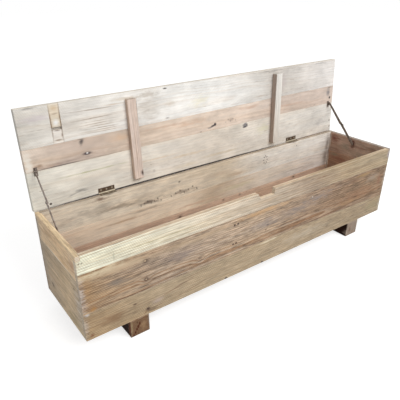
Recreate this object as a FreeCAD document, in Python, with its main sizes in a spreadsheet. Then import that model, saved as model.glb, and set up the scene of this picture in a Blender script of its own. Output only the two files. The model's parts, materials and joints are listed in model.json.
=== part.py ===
import FreeCAD, Part
import os
import Sketcher
from FreeCAD import Rotation, Vector

# A five-foot blanket chest of old pine boards on two bearers, with a battened lid on two
# butt hinges and a folding stay at each end.
#
# Row frame: X to the right, Y to the back, Z up, origin under the middle of the open chest.
# Every piece is drawn in one of three local frames whose axes are named here once:
#   chest frame  X from the left end, Y from the front face, Z from the boards' lower edge
#   lid frame    X as above, Y up the lid from the hinge axis, Z out of the lid's underside
#   stay frame   X as above, Y along the straight stay from its lower pivot, Z square to it

DIMENSIONS = {
    # carcase
    "chest_length": 1500.0,
    "chest_depth": 335.0,
    "wall_height": 312.0,
    "board_thickness": 18.0,
    "edge_ease": 1.2,
    # front boards, whose edges were left tapered
    "front_low_seam_left": 102.5,
    "front_low_seam_bend_x": 950.0,
    "front_low_seam_bend": 96.0,
    "front_low_seam_right": 82.5,
    "front_top_seam_left": 248.0,
    "front_top_seam_right": 238.0,
    # finger notch in the front rim
    "notch_left": 696.0,
    "notch_floor_left": 711.0,
    "notch_right": 782.0,
    "notch_depth": 24.0,
    # back and end boards
    "back_low_seam": 141.0,
    "back_top_seam": 216.0,
    "end_seam": 219.0,
    # tongue of each end board that laps the front and back boards at the rim
    "tongue_width": 14.0,
    "tongue_height": 17.0,
    # floor and bearers
    "floor_thickness": 18.0,
    "bearer_width": 73.0,
    "bearer_height": 69.0,
    "bearer_inset": 152.0,
    "bearer_ease": 2.0,
    # cut nails
    "nail_width": 3.4,
    "nail_length": 52.0,
    "nail_proud": 0.2,
    "nail_low": 28.0,
    "nail_second": 74.0,
    "nail_third": 128.0,
    "nail_fourth": 188.0,
    "nail_top": 287.0,
    "floor_nail_inset": 24.0,
    "floor_nail_step": 48.6,
    # lid, measured up its boards from the hinge axis; its rear edge overlaps the back board
    "lid_lean": 85.7,
    "lid_front": 336.5,
    "lid_overlap": 4.5,
    "lid_thickness": 21.0,
    "lid_low_seam_left": 131.5,
    "lid_low_seam_right": 137.0,
    "lid_top_seam_left": 207.0,
    "lid_top_seam_right": 215.5,
    # two patch blocks let into the underside of the lid's front board
    "patch_left": 106.5,
    "patch_width": 36.0,
    "patch_depth": 8.0,
    "patch_gap_low": 253.0,
    "patch_gap_high": 261.0,
    # battens
    "left_batten_x": 380.0,
    "left_batten_width": 36.0,
    "left_batten_thickness": 17.0,
    "left_batten_skew": -1.5,
    "left_batten_front": 313.0,
    "right_batten_x": 1078.0,
    "right_batten_width": 35.0,
    "right_batten_thickness": 25.0,
    "right_batten_skew": 14.0,
    "right_batten_front": 317.0,
    "batten_rear": 21.2,
    "batten_nail_first": 56.0,
    "batten_nail_step": 62.0,
    "batten_nail_length": 34.0,
    # butt hinges
    "hinge_setback": 2.2,
    "hinge_length": 63.5,
    "left_hinge_x": 235.0,
    "right_hinge_x": 1187.0,
    "knuckle_clearance": 0.5,
    "leaf_reach": 18.0,
    "leaf_thickness": 1.5,
    "leaf_clearance": 0.3,
    "knuckle_radius": 2.6,
    "knuckle_gap": 0.3,
    "pin_radius": 1.4,
    "running_gap": 0.08,
    "hinge_screw_first": 10.0,
    "hinge_screw_step": 21.75,
    "hinge_screw_along": 10.8,
    # screws, driven home flush in the plate that carries them
    "screw_head_radius": 3.4,
    "screw_shank_radius": 1.7,
    "screw_length": 15.0,
    "screw_slot_width": 0.9,
    "screw_slot_depth": 0.8,
    # folding stays: a stack of flat pieces counted out from the end board's inner face
    "stay_pivot_y": 181.2,
    "stay_pivot_z": 285.5,
    "stay_bracket_along": 135.0,
    "stay_bracket_out": 9.6,
    "plate_thickness": 5.0,
    "plate_length": 36.0,
    "plate_width": 14.0,
    "plate_screw_step": 23.0,
    "link_thickness": 2.4,
    "link_gap": 0.4,
    "lower_link_length": 118.0,
    "lower_link_width": 11.0,
    "upper_link_top_width": 8.5,
    "upper_link_knee_width": 12.6,
    "eye_radius": 5.5,
    "thumb_length": 9.0,
    "thumb_start": 10.0,
    "thumb_rise": 4.0,
    "rivet_radius": 2.2,
    "rivet_head_radius": 3.5,
    "rivet_head_height": 1.4,
    "bracket_thickness": 2.0,
    "bracket_flange_width": 12.0,
    "bracket_flange_back": 3.5,
    "bracket_below": 18.0,
    "bracket_above": 11.0,
    "bracket_screw_below": 11.5,
    "bracket_screw_above": 4.5,
}

KNUCKLES = 5
HINGE_SCREWS = 3
BATTEN_NAILS = 5
FLOOR_NAILS_PER_BEARER = 6
FLOOR_PLACES = ("front", "middle", "back")
SIDES = ("left", "right")
FULL_TURN = 360
START_POINT = 1
END_POINT = 2
CENTRE_POINT = 3
TILT_AXIS = Vector(1, 0, 0)
TILT_START = 1
DIRECTION = {"XY_Plane": 1, "YZ_Plane": 1, "XZ_Plane": -1}

doc = FreeCAD.newDocument("BlanketChest")


def write_sheet():
    """The driving dimensions, one per row, each with its alias."""
    sheet = doc.addObject("Spreadsheet::Sheet", "dims")
    for row, (name, value) in enumerate(DIMENSIONS.items(), start=1):
        sheet.set(f"A{row}", name)
        sheet.set(f"B{row}", str(value))
        sheet.setAlias(f"B{row}", name)
    doc.recompute()


# ---- expressions shared by many pieces ---------------------------------------------------

LEAN = "dims.lid_lean * 1 deg"
AXIS_OUT = "(dims.leaf_thickness + dims.leaf_clearance)"
HINGE_Y = "(dims.chest_depth + dims.hinge_setback)"
HINGE_Z = f"(dims.wall_height + {AXIS_OUT})"
LID_BACK = f"({AXIS_OUT} + dims.lid_thickness)"
LID_REACH = "(dims.lid_front - dims.edge_ease)"
REACH_BACK = f"({HINGE_Y} + {LID_REACH} * cos({LEAN}) + {LID_BACK} * sin({LEAN}))"
FRONT_Y = f"((dims.nail_proud - {REACH_BACK}) / 2)"
LEFT_X = "(-dims.chest_length / 2)"
BRACKET_Z = f"(dims.stay_bracket_out - {AXIS_OUT})"
TOP_PIVOT_Y = f"({HINGE_Y} + dims.stay_bracket_along * cos({LEAN}) - {BRACKET_Z} * sin({LEAN}))"
TOP_PIVOT_Z = f"({HINGE_Z} + dims.stay_bracket_along * sin({LEAN}) + {BRACKET_Z} * cos({LEAN}))"
STAY_RUN = f"({TOP_PIVOT_Y} - dims.stay_pivot_y)"
STAY_RISE = f"({TOP_PIVOT_Z} - dims.stay_pivot_z)"
STAY_SPAN = f"sqrt({STAY_RUN} ^ 2 + {STAY_RISE} ^ 2)"

FRAMES = {
    "chest": (LEFT_X, FRONT_Y, "dims.bearer_height", None),
    "lid": (LEFT_X, f"{FRONT_Y} + {HINGE_Y}", f"dims.bearer_height + {HINGE_Z}", "dims.lid_lean"),
    "stay": (
        LEFT_X,
        f"{FRONT_Y} + dims.stay_pivot_y",
        "dims.bearer_height + dims.stay_pivot_z",
        f"atan2({STAY_RISE}; {STAY_RUN}) / 1 deg",
    ),
}


# ---- building blocks ---------------------------------------------------------------------


def new_body(label, frame, several=False):
    """An empty body in one of the three frames; several lets it hold separate solids."""
    body = doc.addObject("PartDesign::Body", label)
    body.Label = label
    body.AllowCompound = several
    base_x, base_y, base_z, tilt = FRAMES[frame]
    if tilt:
        body.Placement.Rotation = Rotation(TILT_AXIS, TILT_START)
        body.setExpression("Placement.Rotation.Angle", tilt)
    body.setExpression("Placement.Base.x", base_x)
    body.setExpression("Placement.Base.y", base_y)
    body.setExpression("Placement.Base.z", base_z)
    return body


def origin_feature(body, role):
    return next(item for item in body.Origin.OriginFeatures if item.Role == role)


def new_sketch(body, name, plane, shift):
    """A sketch on an origin plane, moved in its own axes by three expressions."""
    sketch = body.newObject("Sketcher::SketchObject", name)
    sketch.AttachmentSupport = (origin_feature(body, plane), [""])
    sketch.MapMode = "FlatFace"
    for axis, expression in zip("xyz", shift):
        sketch.setExpression(f"AttachmentOffset.Base.{axis}", expression)
    return sketch


def level_sketch(body, name, plane, level):
    """A sketch parallel to an origin plane, level along that plane's positive axis."""
    return new_sketch(body, name, plane, ("0", "0", f"({level}) * {DIRECTION[plane]}"))


def number(sketch, expression):
    value = sketch.evalExpression(expression)
    return float(getattr(value, "Value", value))


def tie_point(sketch, index, position, corner, start):
    """Ties one point of the geometry to the sketch's origin by two expressions."""
    axes = (("DistanceX", corner[0], start[0], -2), ("DistanceY", corner[1], start[1], -1))
    for kind, expression, value, axis in axes:
        if expression == "0":
            sketch.addConstraint(Sketcher.Constraint("PointOnObject", index, position, axis))
        else:
            tie = Sketcher.Constraint(kind, -1, START_POINT, index, position, value)
            sketch.setExpression(f"Constraints[{sketch.addConstraint(tie)}]", expression)


def draw_outline(sketch, corners):
    """A closed outline of straight edges through corners given as expressions."""
    first = sketch.GeometryCount
    points = [Vector(number(sketch, x), number(sketch, y), 0) for x, y in corners]
    count = len(points)
    for index, point in enumerate(points):
        sketch.addGeometry(Part.LineSegment(point, points[(index + 1) % count]))
    for index in range(count):
        following = first + (index + 1) % count
        joined = Sketcher.Constraint("Coincident", first + index, END_POINT, following, START_POINT)
        sketch.addConstraint(joined)
    for index, corner in enumerate(corners):
        tie_point(sketch, first + index, START_POINT, corner, points[index])


def draw_circle(sketch, centre, radius):
    size = number(sketch, radius)
    start = Vector(number(sketch, centre[0]), number(sketch, centre[1]), 0)
    index = sketch.addGeometry(Part.Circle(start, Vector(0, 0, 1), size))
    ring = sketch.addConstraint(Sketcher.Constraint("Radius", index, size))
    sketch.setExpression(f"Constraints[{ring}]", radius)
    tie_point(sketch, index, CENTRE_POINT, centre, start)


def extrude(body, name, kind, plane, sketch, length, backwards=False):
    """A pad or pocket along the plane's positive axis, or against it if backwards."""
    feature = body.newObject(f"PartDesign::{kind}", name)
    feature.Profile = sketch
    feature.setExpression("Length", length)
    against_normal = (DIRECTION[plane] < 0) != backwards
    feature.Reversed = against_normal == (kind == "Pad")
    doc.recompute()
    return feature


def slab(body, name, kind, plane, outlines, level, length):
    sketch = level_sketch(body, f"{name}_outline", plane, level)
    for corners in outlines:
        draw_outline(sketch, corners)
    return extrude(body, name, kind, plane, sketch, length)


def discs(body, name, kind, plane, centres, radius, level, length):
    sketch = level_sketch(body, f"{name}_circles", plane, level)
    for centre in centres:
        draw_circle(sketch, centre, radius)
    return extrude(body, name, kind, plane, sketch, length)


def turn(body, name, plane, shift, axis, profile):
    """A solid turned from a half profile about one axis of its own sketch."""
    sketch = new_sketch(body, f"{name}_profile", plane, shift)
    draw_outline(sketch, profile)
    feature = body.newObject("PartDesign::Revolution", name)
    feature.Profile = sketch
    feature.ReferenceAxis = (sketch, [axis])
    feature.Angle = FULL_TURN
    doc.recompute()
    return feature


def ease(body, feature, size):
    """Takes the sharpness off every edge of a wooden piece."""
    chamfer = body.newObject("PartDesign::Chamfer", f"{body.Name}_eased")
    chamfer.UseAllEdges = True
    chamfer.Base = (feature, ["Edge1"])
    chamfer.setExpression("Size", size)
    doc.recompute()
    return chamfer


def rectangle(low, high):
    return [(low[0], low[1]), (high[0], low[1]), (high[0], high[1]), (low[0], high[1])]


def around(centre, half_width, half_height):
    """A rectangle about a centre."""
    low = (f"{centre[0]} - {half_width}", f"{centre[1]} - {half_height}")
    high = (f"{centre[0]} + {half_width}", f"{centre[1]} + {half_height}")
    return rectangle(low, high)


def from_end(side, offset, thickness="0"):
    """Lower X of a piece that lies offset in from the chest's left or right end."""
    if side == "left":
        return offset
    return f"dims.chest_length - ({offset}) - ({thickness})"


def from_wall(side, offset, thickness="0"):
    """Lower X of a piece that stands off the inner face of an end board."""
    return from_end(side, f"dims.board_thickness + {offset}", thickness)


# ---- fastenings --------------------------------------------------------------------------


def drive_nails(label, frame, plane, centres, head, length, backwards=False):
    """Square cut nails from their heads' level into the wood."""
    body = new_body(label, frame, several=True)
    sketch = level_sketch(body, f"{label}_heads", plane, head)
    half = "dims.nail_width / 2"
    for centre in centres:
        draw_outline(sketch, around(centre, half, half))
    extrude(body, f"{label}_shanks", "Pad", plane, sketch, length, backwards)


def drive_screws(body, plane, seats, place, thickness):
    """Screws driven home in a plate: a shank behind each seat, a slot in each flush head.

    place(offset, depth) gives the level of a slice that starts offset out from the wood.
    """
    slot = "dims.screw_slot_depth"
    shank = f"(dims.screw_length - {slot})"
    foot = place(f"({thickness} - dims.screw_length)", shank)
    discs(body, f"{body.Name}_shanks", "Pad", plane, seats, "dims.screw_shank_radius", foot, shank)
    slots = [around(seat, "dims.screw_head_radius", "dims.screw_slot_width / 2") for seat in seats]
    slab(body, f"{body.Name}_slots", "Pocket", plane, slots, place(f"({thickness} - {slot})", slot), slot)


# ---- carcase -----------------------------------------------------------------------------

RIM = "dims.wall_height"
LENGTH = "dims.chest_length"
DEPTH = "dims.chest_depth"
WALL = "dims.board_thickness"
TONGUE_FOOT = "dims.wall_height - dims.tongue_height"
TONGUE_FAR = "dims.chest_length - dims.tongue_width"
INNER_DEPTH = "dims.chest_depth - dims.board_thickness"


def board(label, frame, plane, corners, level, thickness, edge="dims.edge_ease"):
    """A flat piece of wood with eased edges, in a body of its own."""
    body = new_body(label, frame)
    ease(body, slab(body, f"{label}_sawn", "Pad", plane, [corners], level, thickness), edge)
    return body


def front_boards():
    low_left = ("0", "dims.front_low_seam_left")
    low_bend = ("dims.front_low_seam_bend_x", "dims.front_low_seam_bend")
    low_right = (LENGTH, "dims.front_low_seam_right")
    top_left = ("0", "dims.front_top_seam_left")
    top_right = (LENGTH, "dims.front_top_seam_right")
    notch_floor = "dims.wall_height - dims.notch_depth"
    bottom = [("0", "0"), (LENGTH, "0"), low_right, low_bend, low_left]
    middle = [low_left, low_bend, low_right, top_right, top_left]
    top = [
        top_left,
        top_right,
        (LENGTH, TONGUE_FOOT),
        (TONGUE_FAR, TONGUE_FOOT),
        (TONGUE_FAR, RIM),
        ("dims.notch_right", RIM),
        ("dims.notch_right", notch_floor),
        ("dims.notch_floor_left", notch_floor),
        ("dims.notch_left", RIM),
        ("dims.tongue_width", RIM),
        ("dims.tongue_width", TONGUE_FOOT),
        ("0", TONGUE_FOOT),
    ]
    for label, corners in (("bottom", bottom), ("middle", middle), ("top", top)):
        board(f"front_board_{label}", "chest", "XZ_Plane", corners, "0", WALL)


def back_boards():
    low = "dims.back_low_seam"
    high = "dims.back_top_seam"
    bottom = rectangle(("0", "0"), (LENGTH, low))
    middle = rectangle(("0", low), (LENGTH, high))
    top = [
        ("0", high),
        (LENGTH, high),
        (LENGTH, TONGUE_FOOT),
        (TONGUE_FAR, TONGUE_FOOT),
        (TONGUE_FAR, RIM),
        ("dims.tongue_width", RIM),
        ("dims.tongue_width", TONGUE_FOOT),
        ("0", TONGUE_FOOT),
    ]
    for label, corners in (("bottom", bottom), ("middle", middle), ("top", top)):
        board(f"back_board_{label}", "chest", "XZ_Plane", corners, INNER_DEPTH, WALL)


def end_boards(side):
    """Two boards between the front and back; the upper one laps them with its tongues."""
    face = from_end(side, "0", WALL)
    bottom = rectangle((WALL, "0"), (INNER_DEPTH, "dims.end_seam"))
    board(f"{side}_end_board_bottom", "chest", "YZ_Plane", bottom, face, WALL)
    upper = new_body(f"{side}_end_board_top", "chest")
    top = rectangle((WALL, "dims.end_seam"), (INNER_DEPTH, RIM))
    slab(upper, f"{side}_end_sawn", "Pad", "YZ_Plane", [top], face, WALL)
    width = "dims.tongue_width"
    tongue_face = from_end(side, "0", width)
    tongues = rectangle(("0", TONGUE_FOOT), (DEPTH, RIM))
    lapped = slab(upper, f"{side}_end_tongues", "Pad", "YZ_Plane", [tongues], tongue_face, width)
    ease(upper, lapped, "dims.edge_ease")


def floor_boards():
    width = f"(dims.chest_depth - 2 * dims.board_thickness) / {len(FLOOR_PLACES)}"
    far = "dims.chest_length - dims.board_thickness"
    for index, place in enumerate(FLOOR_PLACES):
        near = f"dims.board_thickness + {index} * {width}"
        corners = rectangle((WALL, near), (far, f"{near} + {width}"))
        board(f"floor_board_{place}", "chest", "XY_Plane", corners, "0", "dims.floor_thickness")


def bearer(side):
    """A square-sawn bearer across the whole depth, under the boards."""
    start = from_end(side, "dims.bearer_inset", "dims.bearer_width")
    corners = rectangle(("0", "-dims.bearer_height"), (DEPTH, "0"))
    label = f"{side}_bearer"
    board(label, "chest", "YZ_Plane", corners, start, "dims.bearer_width", "dims.bearer_ease")


def corner_nails(side):
    """Rows of nails through the front and back boards into the end boards' edges."""
    column = from_end(side, "dims.board_thickness / 2")
    heights = ("nail_low", "nail_second", "nail_third", "nail_fourth", "nail_top")
    centres = [(column, f"dims.{height}") for height in heights]
    length = "dims.nail_length"
    front_head = "-dims.nail_proud"
    back_head = "dims.chest_depth + dims.nail_proud"
    drive_nails(f"front_{side}_nails", "chest", "XZ_Plane", centres, front_head, length)
    drive_nails(f"back_{side}_nails", "chest", "XZ_Plane", centres, back_head, length, backwards=True)


def floor_nails():
    """Nails down through the floor boards into both bearers."""
    columns = [from_end(side, "dims.bearer_inset + dims.bearer_width / 2") for side in SIDES]
    rows = [
        f"dims.board_thickness + dims.floor_nail_inset + {index} * dims.floor_nail_step"
        for index in range(FLOOR_NAILS_PER_BEARER)
    ]
    centres = [(column, row) for column in columns for row in rows]
    head = "dims.floor_thickness + dims.nail_proud"
    drive_nails("floor_nails", "chest", "XY_Plane", centres, head, "dims.nail_length", backwards=True)


# ---- lid ---------------------------------------------------------------------------------

LID_REAR = "-dims.lid_overlap"
LID_FRONT = "dims.lid_front"
LID_FACE = f"-{AXIS_OUT}"
LID_OUTSIDE = f"{LID_FACE} - dims.lid_thickness"
PATCH_NEAR = "dims.patch_left"
PATCH_FAR = "(dims.patch_left + dims.patch_width)"


def top_seam_at(place):
    """Height up the lid of its sloping upper seam, place along from the left end."""
    rise = "(dims.lid_top_seam_right - dims.lid_top_seam_left)"
    return f"dims.lid_top_seam_left + {rise} * {place} / dims.chest_length"


def patch_outline(foot_near, foot_far, head):
    """A patch outline across the housing from its foot's two heights to one level head."""
    return [(PATCH_NEAR, foot_near), (PATCH_FAR, foot_far), (PATCH_FAR, head), (PATCH_NEAR, head)]


def lid_boards():
    low_left = ("0", "dims.lid_low_seam_left")
    low_right = (LENGTH, "dims.lid_low_seam_right")
    high_left = ("0", "dims.lid_top_seam_left")
    high_right = (LENGTH, "dims.lid_top_seam_right")
    rear = [("0", LID_REAR), (LENGTH, LID_REAR), low_right, low_left]
    middle = [low_left, low_right, high_right, high_left]
    front = [high_left, high_right, (LENGTH, LID_FRONT), ("0", LID_FRONT)]
    thickness = "dims.lid_thickness"
    hung = board("lid_board_rear", "lid", "XY_Plane", rear, LID_OUTSIDE, thickness)
    board("lid_board_middle", "lid", "XY_Plane", middle, LID_OUTSIDE, thickness)
    holder = board("lid_board_front", "lid", "XY_Plane", front, LID_OUTSIDE, thickness)
    housing = patch_outline(top_seam_at(PATCH_NEAR), top_seam_at(PATCH_FAR), LID_FRONT)
    depth = "dims.patch_depth"
    slab(holder, "patch_housing", "Pocket", "XY_Plane", [housing], f"{LID_FACE} - {depth}", depth)
    rebate_for_knuckles(hung)


def rebate_for_knuckles(lid_board):
    """A shallow rebate in the lid's rear edge under each hinge's knuckles."""
    spare = "dims.knuckle_clearance"
    depth = f"(dims.knuckle_radius + {spare} - {AXIS_OUT})"
    rebates = []
    for side in SIDES:
        near = (f"dims.{side}_hinge_x - {spare}", f"-dims.lid_overlap - {spare}")
        far = (f"dims.{side}_hinge_x + dims.hinge_length + {spare}", "dims.knuckle_radius")
        rebates.append(rectangle(near, far))
    slab(lid_board, "knuckle_rebates", "Pocket", "XY_Plane", rebates, f"{LID_FACE} - {depth}", depth)


def lid_patches():
    """Two blocks glued in the old housing, with a short gap left between them."""
    gap_low = "dims.patch_gap_low"
    gap_high = "dims.patch_gap_high"
    outlines = {
        "lid_patch_lower": patch_outline(top_seam_at(PATCH_NEAR), top_seam_at(PATCH_FAR), gap_low),
        "lid_patch_upper": patch_outline(gap_high, gap_high, LID_FRONT),
    }
    depth = "dims.patch_depth"
    for label, corners in outlines.items():
        board(label, "lid", "XY_Plane", corners, f"{LID_FACE} - {depth}", depth)


def lid_batten(side):
    """A batten square to the boards but for a slight skew, short of both rims."""
    near = f"dims.{side}_batten_x"
    far = f"{near} + dims.{side}_batten_width"
    skew = f"dims.{side}_batten_skew"
    rear = "dims.batten_rear"
    front = f"dims.{side}_batten_front"
    corners = [(near, rear), (far, rear), (f"{far} + {skew}", front), (f"{near} + {skew}", front)]
    thickness = f"dims.{side}_batten_thickness"
    board(f"lid_batten_{side}", "lid", "XY_Plane", corners, LID_FACE, thickness)


def batten_nails(side):
    """Nails from the lid's outside through its boards into a batten."""
    middle = f"dims.{side}_batten_x + dims.{side}_batten_width / 2"
    lean = f"dims.{side}_batten_skew / (dims.{side}_batten_front - dims.batten_rear)"
    rows = [
        f"dims.batten_nail_first + {index} * dims.batten_nail_step" for index in range(BATTEN_NAILS)
    ]
    centres = [(f"{middle} + {lean} * ({row} - dims.batten_rear)", row) for row in rows]
    head = f"{LID_OUTSIDE} - dims.nail_proud"
    drive_nails(f"lid_batten_nails_{side}", "lid", "XY_Plane", centres, head, "dims.batten_nail_length")


# ---- hinges ------------------------------------------------------------------------------


def hinge_leaf(label, frame, start_x, axis_point, reach, bore, keeps_ends):
    """A leaf with its plate, rolled knuckles and screws.

    axis_point is the pin's place in the frame, reach is "+" or "-", the way the plate runs,
    and keeps_ends tells which of the alternate knuckles are this leaf's.
    """
    body = new_body(label, frame)
    axis_y, axis_z = axis_point
    length = "dims.hinge_length"
    wood = f"{axis_z} - {AXIS_OUT}"
    plate = rectangle((axis_y, wood), (f"{axis_y} {reach} dims.leaf_reach", f"{wood} + dims.leaf_thickness"))
    slab(body, f"{label}_plate", "Pad", "YZ_Plane", [plate], start_x, length)
    centre = [axis_point]
    discs(body, f"{label}_roll", "Pad", "YZ_Plane", centre, "dims.knuckle_radius", start_x, length)
    discs(body, f"{label}_bore", "Pocket", "YZ_Plane", centre, bore, start_x, length)
    pitch = f"dims.hinge_length / {KNUCKLES}"
    clear = "dims.knuckle_radius + dims.knuckle_gap"
    for index in range(KNUCKLES):
        if (index % 2 == 0) != keeps_ends:
            level = f"{start_x} + {index} * {pitch} - dims.knuckle_gap / 2"
            room = f"{pitch} + dims.knuckle_gap"
            discs(body, f"{label}_room_{index}", "Pocket", "YZ_Plane", centre, clear, level, room)
    along = f"{axis_y} {reach} dims.hinge_screw_along"
    seats = [
        (f"{start_x} + dims.hinge_screw_first + {index} * dims.hinge_screw_step", along)
        for index in range(HINGE_SCREWS)
    ]
    drive_screws(body, "XY_Plane", seats, lambda offset, depth: f"{wood} + {offset}", "dims.leaf_thickness")


def hinge(side):
    """Butt hinge: a leaf on the back board's rim, one on the lid, and a pin fast in the first."""
    start_x = f"dims.{side}_hinge_x"
    tight = "dims.pin_radius"
    loose = "(dims.pin_radius + dims.running_gap)"
    rim_axis = (HINGE_Y, HINGE_Z)
    hinge_leaf(f"{side}_hinge_rim_leaf", "chest", start_x, rim_axis, "-", tight, keeps_ends=True)
    hinge_leaf(f"{side}_hinge_lid_leaf", "lid", start_x, ("0", "0"), "+", loose, keeps_ends=False)
    body = new_body(f"{side}_hinge_pin", "chest")
    discs(body, f"{side}_pin_rod", "Pad", "YZ_Plane", [rim_axis], tight, start_x, "dims.hinge_length")


# ---- folding stays -----------------------------------------------------------------------

LINK = "dims.link_thickness"
LOWER_LEVEL = "(dims.plate_thickness + dims.link_gap)"
UPPER_LEVEL = "(dims.plate_thickness + 2 * dims.link_gap + dims.link_thickness)"
EAR_LEVEL = "(dims.plate_thickness + 3 * dims.link_gap + 2 * dims.link_thickness)"
KNEE = "dims.lower_link_length"
EYE_BORE = "(dims.rivet_radius + dims.running_gap)"


def rivet(label, frame, side, tail, far, centre):
    """A rivet along X, headed on the wall's side of tail and flush at far, out from the wall."""
    body = new_body(label, frame)
    sign = "" if side == "left" else "-"
    head = f"{sign}({tail} - dims.rivet_head_height)"
    profile = [
        (head, "0"),
        (head, "dims.rivet_head_radius"),
        (f"{sign}{tail}", "dims.rivet_head_radius"),
        (f"{sign}{tail}", "dims.rivet_radius"),
        (f"{sign}{far}", "dims.rivet_radius"),
        (f"{sign}{far}", "0"),
    ]
    shift = (from_wall(side, "0"), centre[1], f"-({centre[0]})")
    turn(body, f"{label}_turned", "XZ_Plane", shift, "H_Axis", profile)


def lower_link(side):
    """The plain arm, with a thumb tab near the knee and its rivet's head at the foot."""
    body = new_body(f"{side}_stay_lower_link", "stay")
    level = from_wall(side, LOWER_LEVEL, LINK)
    half = "dims.lower_link_width / 2"
    tab_far = f"{KNEE} - dims.thumb_start"
    tab_near = f"{tab_far} - dims.thumb_length"
    tab_top = f"{half} + dims.thumb_rise"
    outline = [
        ("0", f"-{half}"),
        (KNEE, f"-{half}"),
        (KNEE, half),
        (tab_far, half),
        (f"{tab_far} - dims.thumb_rise", tab_top),
        (tab_near, half),
        ("0", half),
    ]
    slab(body, f"{side}_lower_bar", "Pad", "YZ_Plane", [outline], level, LINK)
    ends = [("0", "0"), (KNEE, "0")]
    discs(body, f"{side}_lower_eyes", "Pad", "YZ_Plane", ends, half, level, LINK)
    rise = "dims.rivet_head_height"
    head_level = from_wall(side, f"({LOWER_LEVEL} + {LINK})", rise)
    discs(body, f"{side}_foot_head", "Pad", "YZ_Plane", ends[:1], "dims.rivet_head_radius", head_level, rise)
    discs(body, f"{side}_lower_knee", "Pocket", "YZ_Plane", ends[1:], EYE_BORE, level, LINK)


def upper_link(side):
    """The tapered arm, wide and square-shouldered at the knee, where it carries the rivet."""
    body = new_body(f"{side}_stay_upper_link", "stay")
    level = from_wall(side, UPPER_LEVEL, LINK)
    wide = "dims.upper_link_knee_width / 2"
    narrow = "dims.upper_link_top_width / 2"
    outline = [
        (f"{KNEE} - {wide}", "0"),
        (KNEE, f"-{wide}"),
        (STAY_SPAN, f"-{narrow}"),
        (STAY_SPAN, narrow),
        (KNEE, wide),
        (f"{KNEE} - {wide}", wide),
    ]
    slab(body, f"{side}_upper_bar", "Pad", "YZ_Plane", [outline], level, LINK)
    knee = [(KNEE, "0")]
    top = [(STAY_SPAN, "0")]
    discs(body, f"{side}_knee_eye", "Pad", "YZ_Plane", knee, wide, level, LINK)
    discs(body, f"{side}_top_eye", "Pad", "YZ_Plane", top, narrow, level, LINK)
    discs(body, f"{side}_upper_knee", "Pocket", "YZ_Plane", knee, "dims.rivet_radius", level, LINK)
    discs(body, f"{side}_upper_top", "Pocket", "YZ_Plane", top, EYE_BORE, level, LINK)
    tail = f"({LOWER_LEVEL} - dims.link_gap)"
    far = f"({UPPER_LEVEL} + {LINK})"
    rivet(f"{side}_stay_knee_rivet", "stay", side, tail, far, (KNEE, "0"))


def lid_bracket(side):
    """An angle bracket: flange on the lid's underside, ear carrying the stay's top pivot."""
    body = new_body(f"{side}_stay_lid_bracket", "lid")
    thick = "dims.bracket_thickness"
    pivot = "dims.stay_bracket_along"
    low = f"{pivot} - dims.bracket_below"
    high = f"{pivot} + dims.bracket_above"
    eye = "dims.eye_radius"
    ear_level = from_wall(side, EAR_LEVEL, thick)
    top = [(f"{pivot} + {eye}", BRACKET_Z), (f"{pivot} - {eye}", BRACKET_Z)]
    ear = [(low, LID_FACE), (high, LID_FACE)] + top
    centre = [(pivot, BRACKET_Z)]
    slab(body, f"{side}_ear_bar", "Pad", "YZ_Plane", [ear], ear_level, thick)
    discs(body, f"{side}_ear_eye", "Pad", "YZ_Plane", centre, eye, ear_level, thick)
    discs(body, f"{side}_ear_hole", "Pocket", "YZ_Plane", centre, "dims.rivet_radius", ear_level, thick)
    width = "dims.bracket_flange_width"
    flange_x = from_wall(side, f"{EAR_LEVEL} - dims.bracket_flange_back", width)
    flange = rectangle((flange_x, low), (f"{flange_x} + {width}", high))
    slab(body, f"{side}_flange", "Pad", "XY_Plane", [flange], LID_FACE, thick)
    free_width = f"({width} - dims.bracket_flange_back - {thick})"
    middle = from_wall(side, f"{EAR_LEVEL} + {thick} + {free_width} / 2")
    rows = (f"{pivot} - dims.bracket_screw_below", f"{pivot} + dims.bracket_screw_above")
    seats = [(middle, row) for row in rows]
    drive_screws(body, "XY_Plane", seats, lambda offset, depth: f"{LID_FACE} + {offset}", thick)
    tail = f"({UPPER_LEVEL} - dims.link_gap)"
    far = f"({EAR_LEVEL} + {thick})"
    rivet(f"{side}_stay_top_rivet", "lid", side, tail, far, (pivot, BRACKET_Z))


def wall_plate(side):
    """The round-ended plate on the end board, behind the stay's lower pivot."""
    body = new_body(f"{side}_stay_wall_plate", "chest")
    thick = "dims.plate_thickness"
    level = from_wall(side, "0", thick)
    half = "dims.plate_width / 2"
    reach = "(dims.plate_length - dims.plate_width) / 2"
    column = "dims.stay_pivot_y"
    ends = [(column, f"dims.stay_pivot_z {sign} {reach}") for sign in "-+"]
    strip = around((column, "dims.stay_pivot_z"), half, reach)
    slab(body, f"{side}_plate_strip", "Pad", "YZ_Plane", [strip], level, thick)
    discs(body, f"{side}_plate_ends", "Pad", "YZ_Plane", ends, half, level, thick)
    seats = [(column, f"dims.stay_pivot_z {sign} dims.plate_screw_step / 2") for sign in "-+"]
    drive_screws(body, "YZ_Plane", seats, lambda offset, depth: from_wall(side, offset, depth), thick)


# ---- assembly and export -----------------------------------------------------------------


def build():
    write_sheet()
    front_boards()
    back_boards()
    floor_boards()
    floor_nails()
    lid_boards()
    lid_patches()
    for side in SIDES:
        end_boards(side)
        bearer(side)
        corner_nails(side)
        lid_batten(side)
        batten_nails(side)
        hinge(side)
        wall_plate(side)
        lid_bracket(side)
        lower_link(side)
        upper_link(side)
    doc.recompute()


def pieces():
    return [item for item in doc.Objects if item.TypeId == "PartDesign::Body"]


def check():
    """Stops the build if any object failed or any piece is empty or invalid."""
    for item in doc.Objects:
        if "Invalid" in item.State or "Error" in item.State:
            raise RuntimeError(f"{item.Name} did not recompute: {item.State}")
    for body in pieces():
        if body.Shape.isNull() or not body.Shape.isValid():
            raise RuntimeError(f"{body.Label} has no valid shape")


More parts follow.
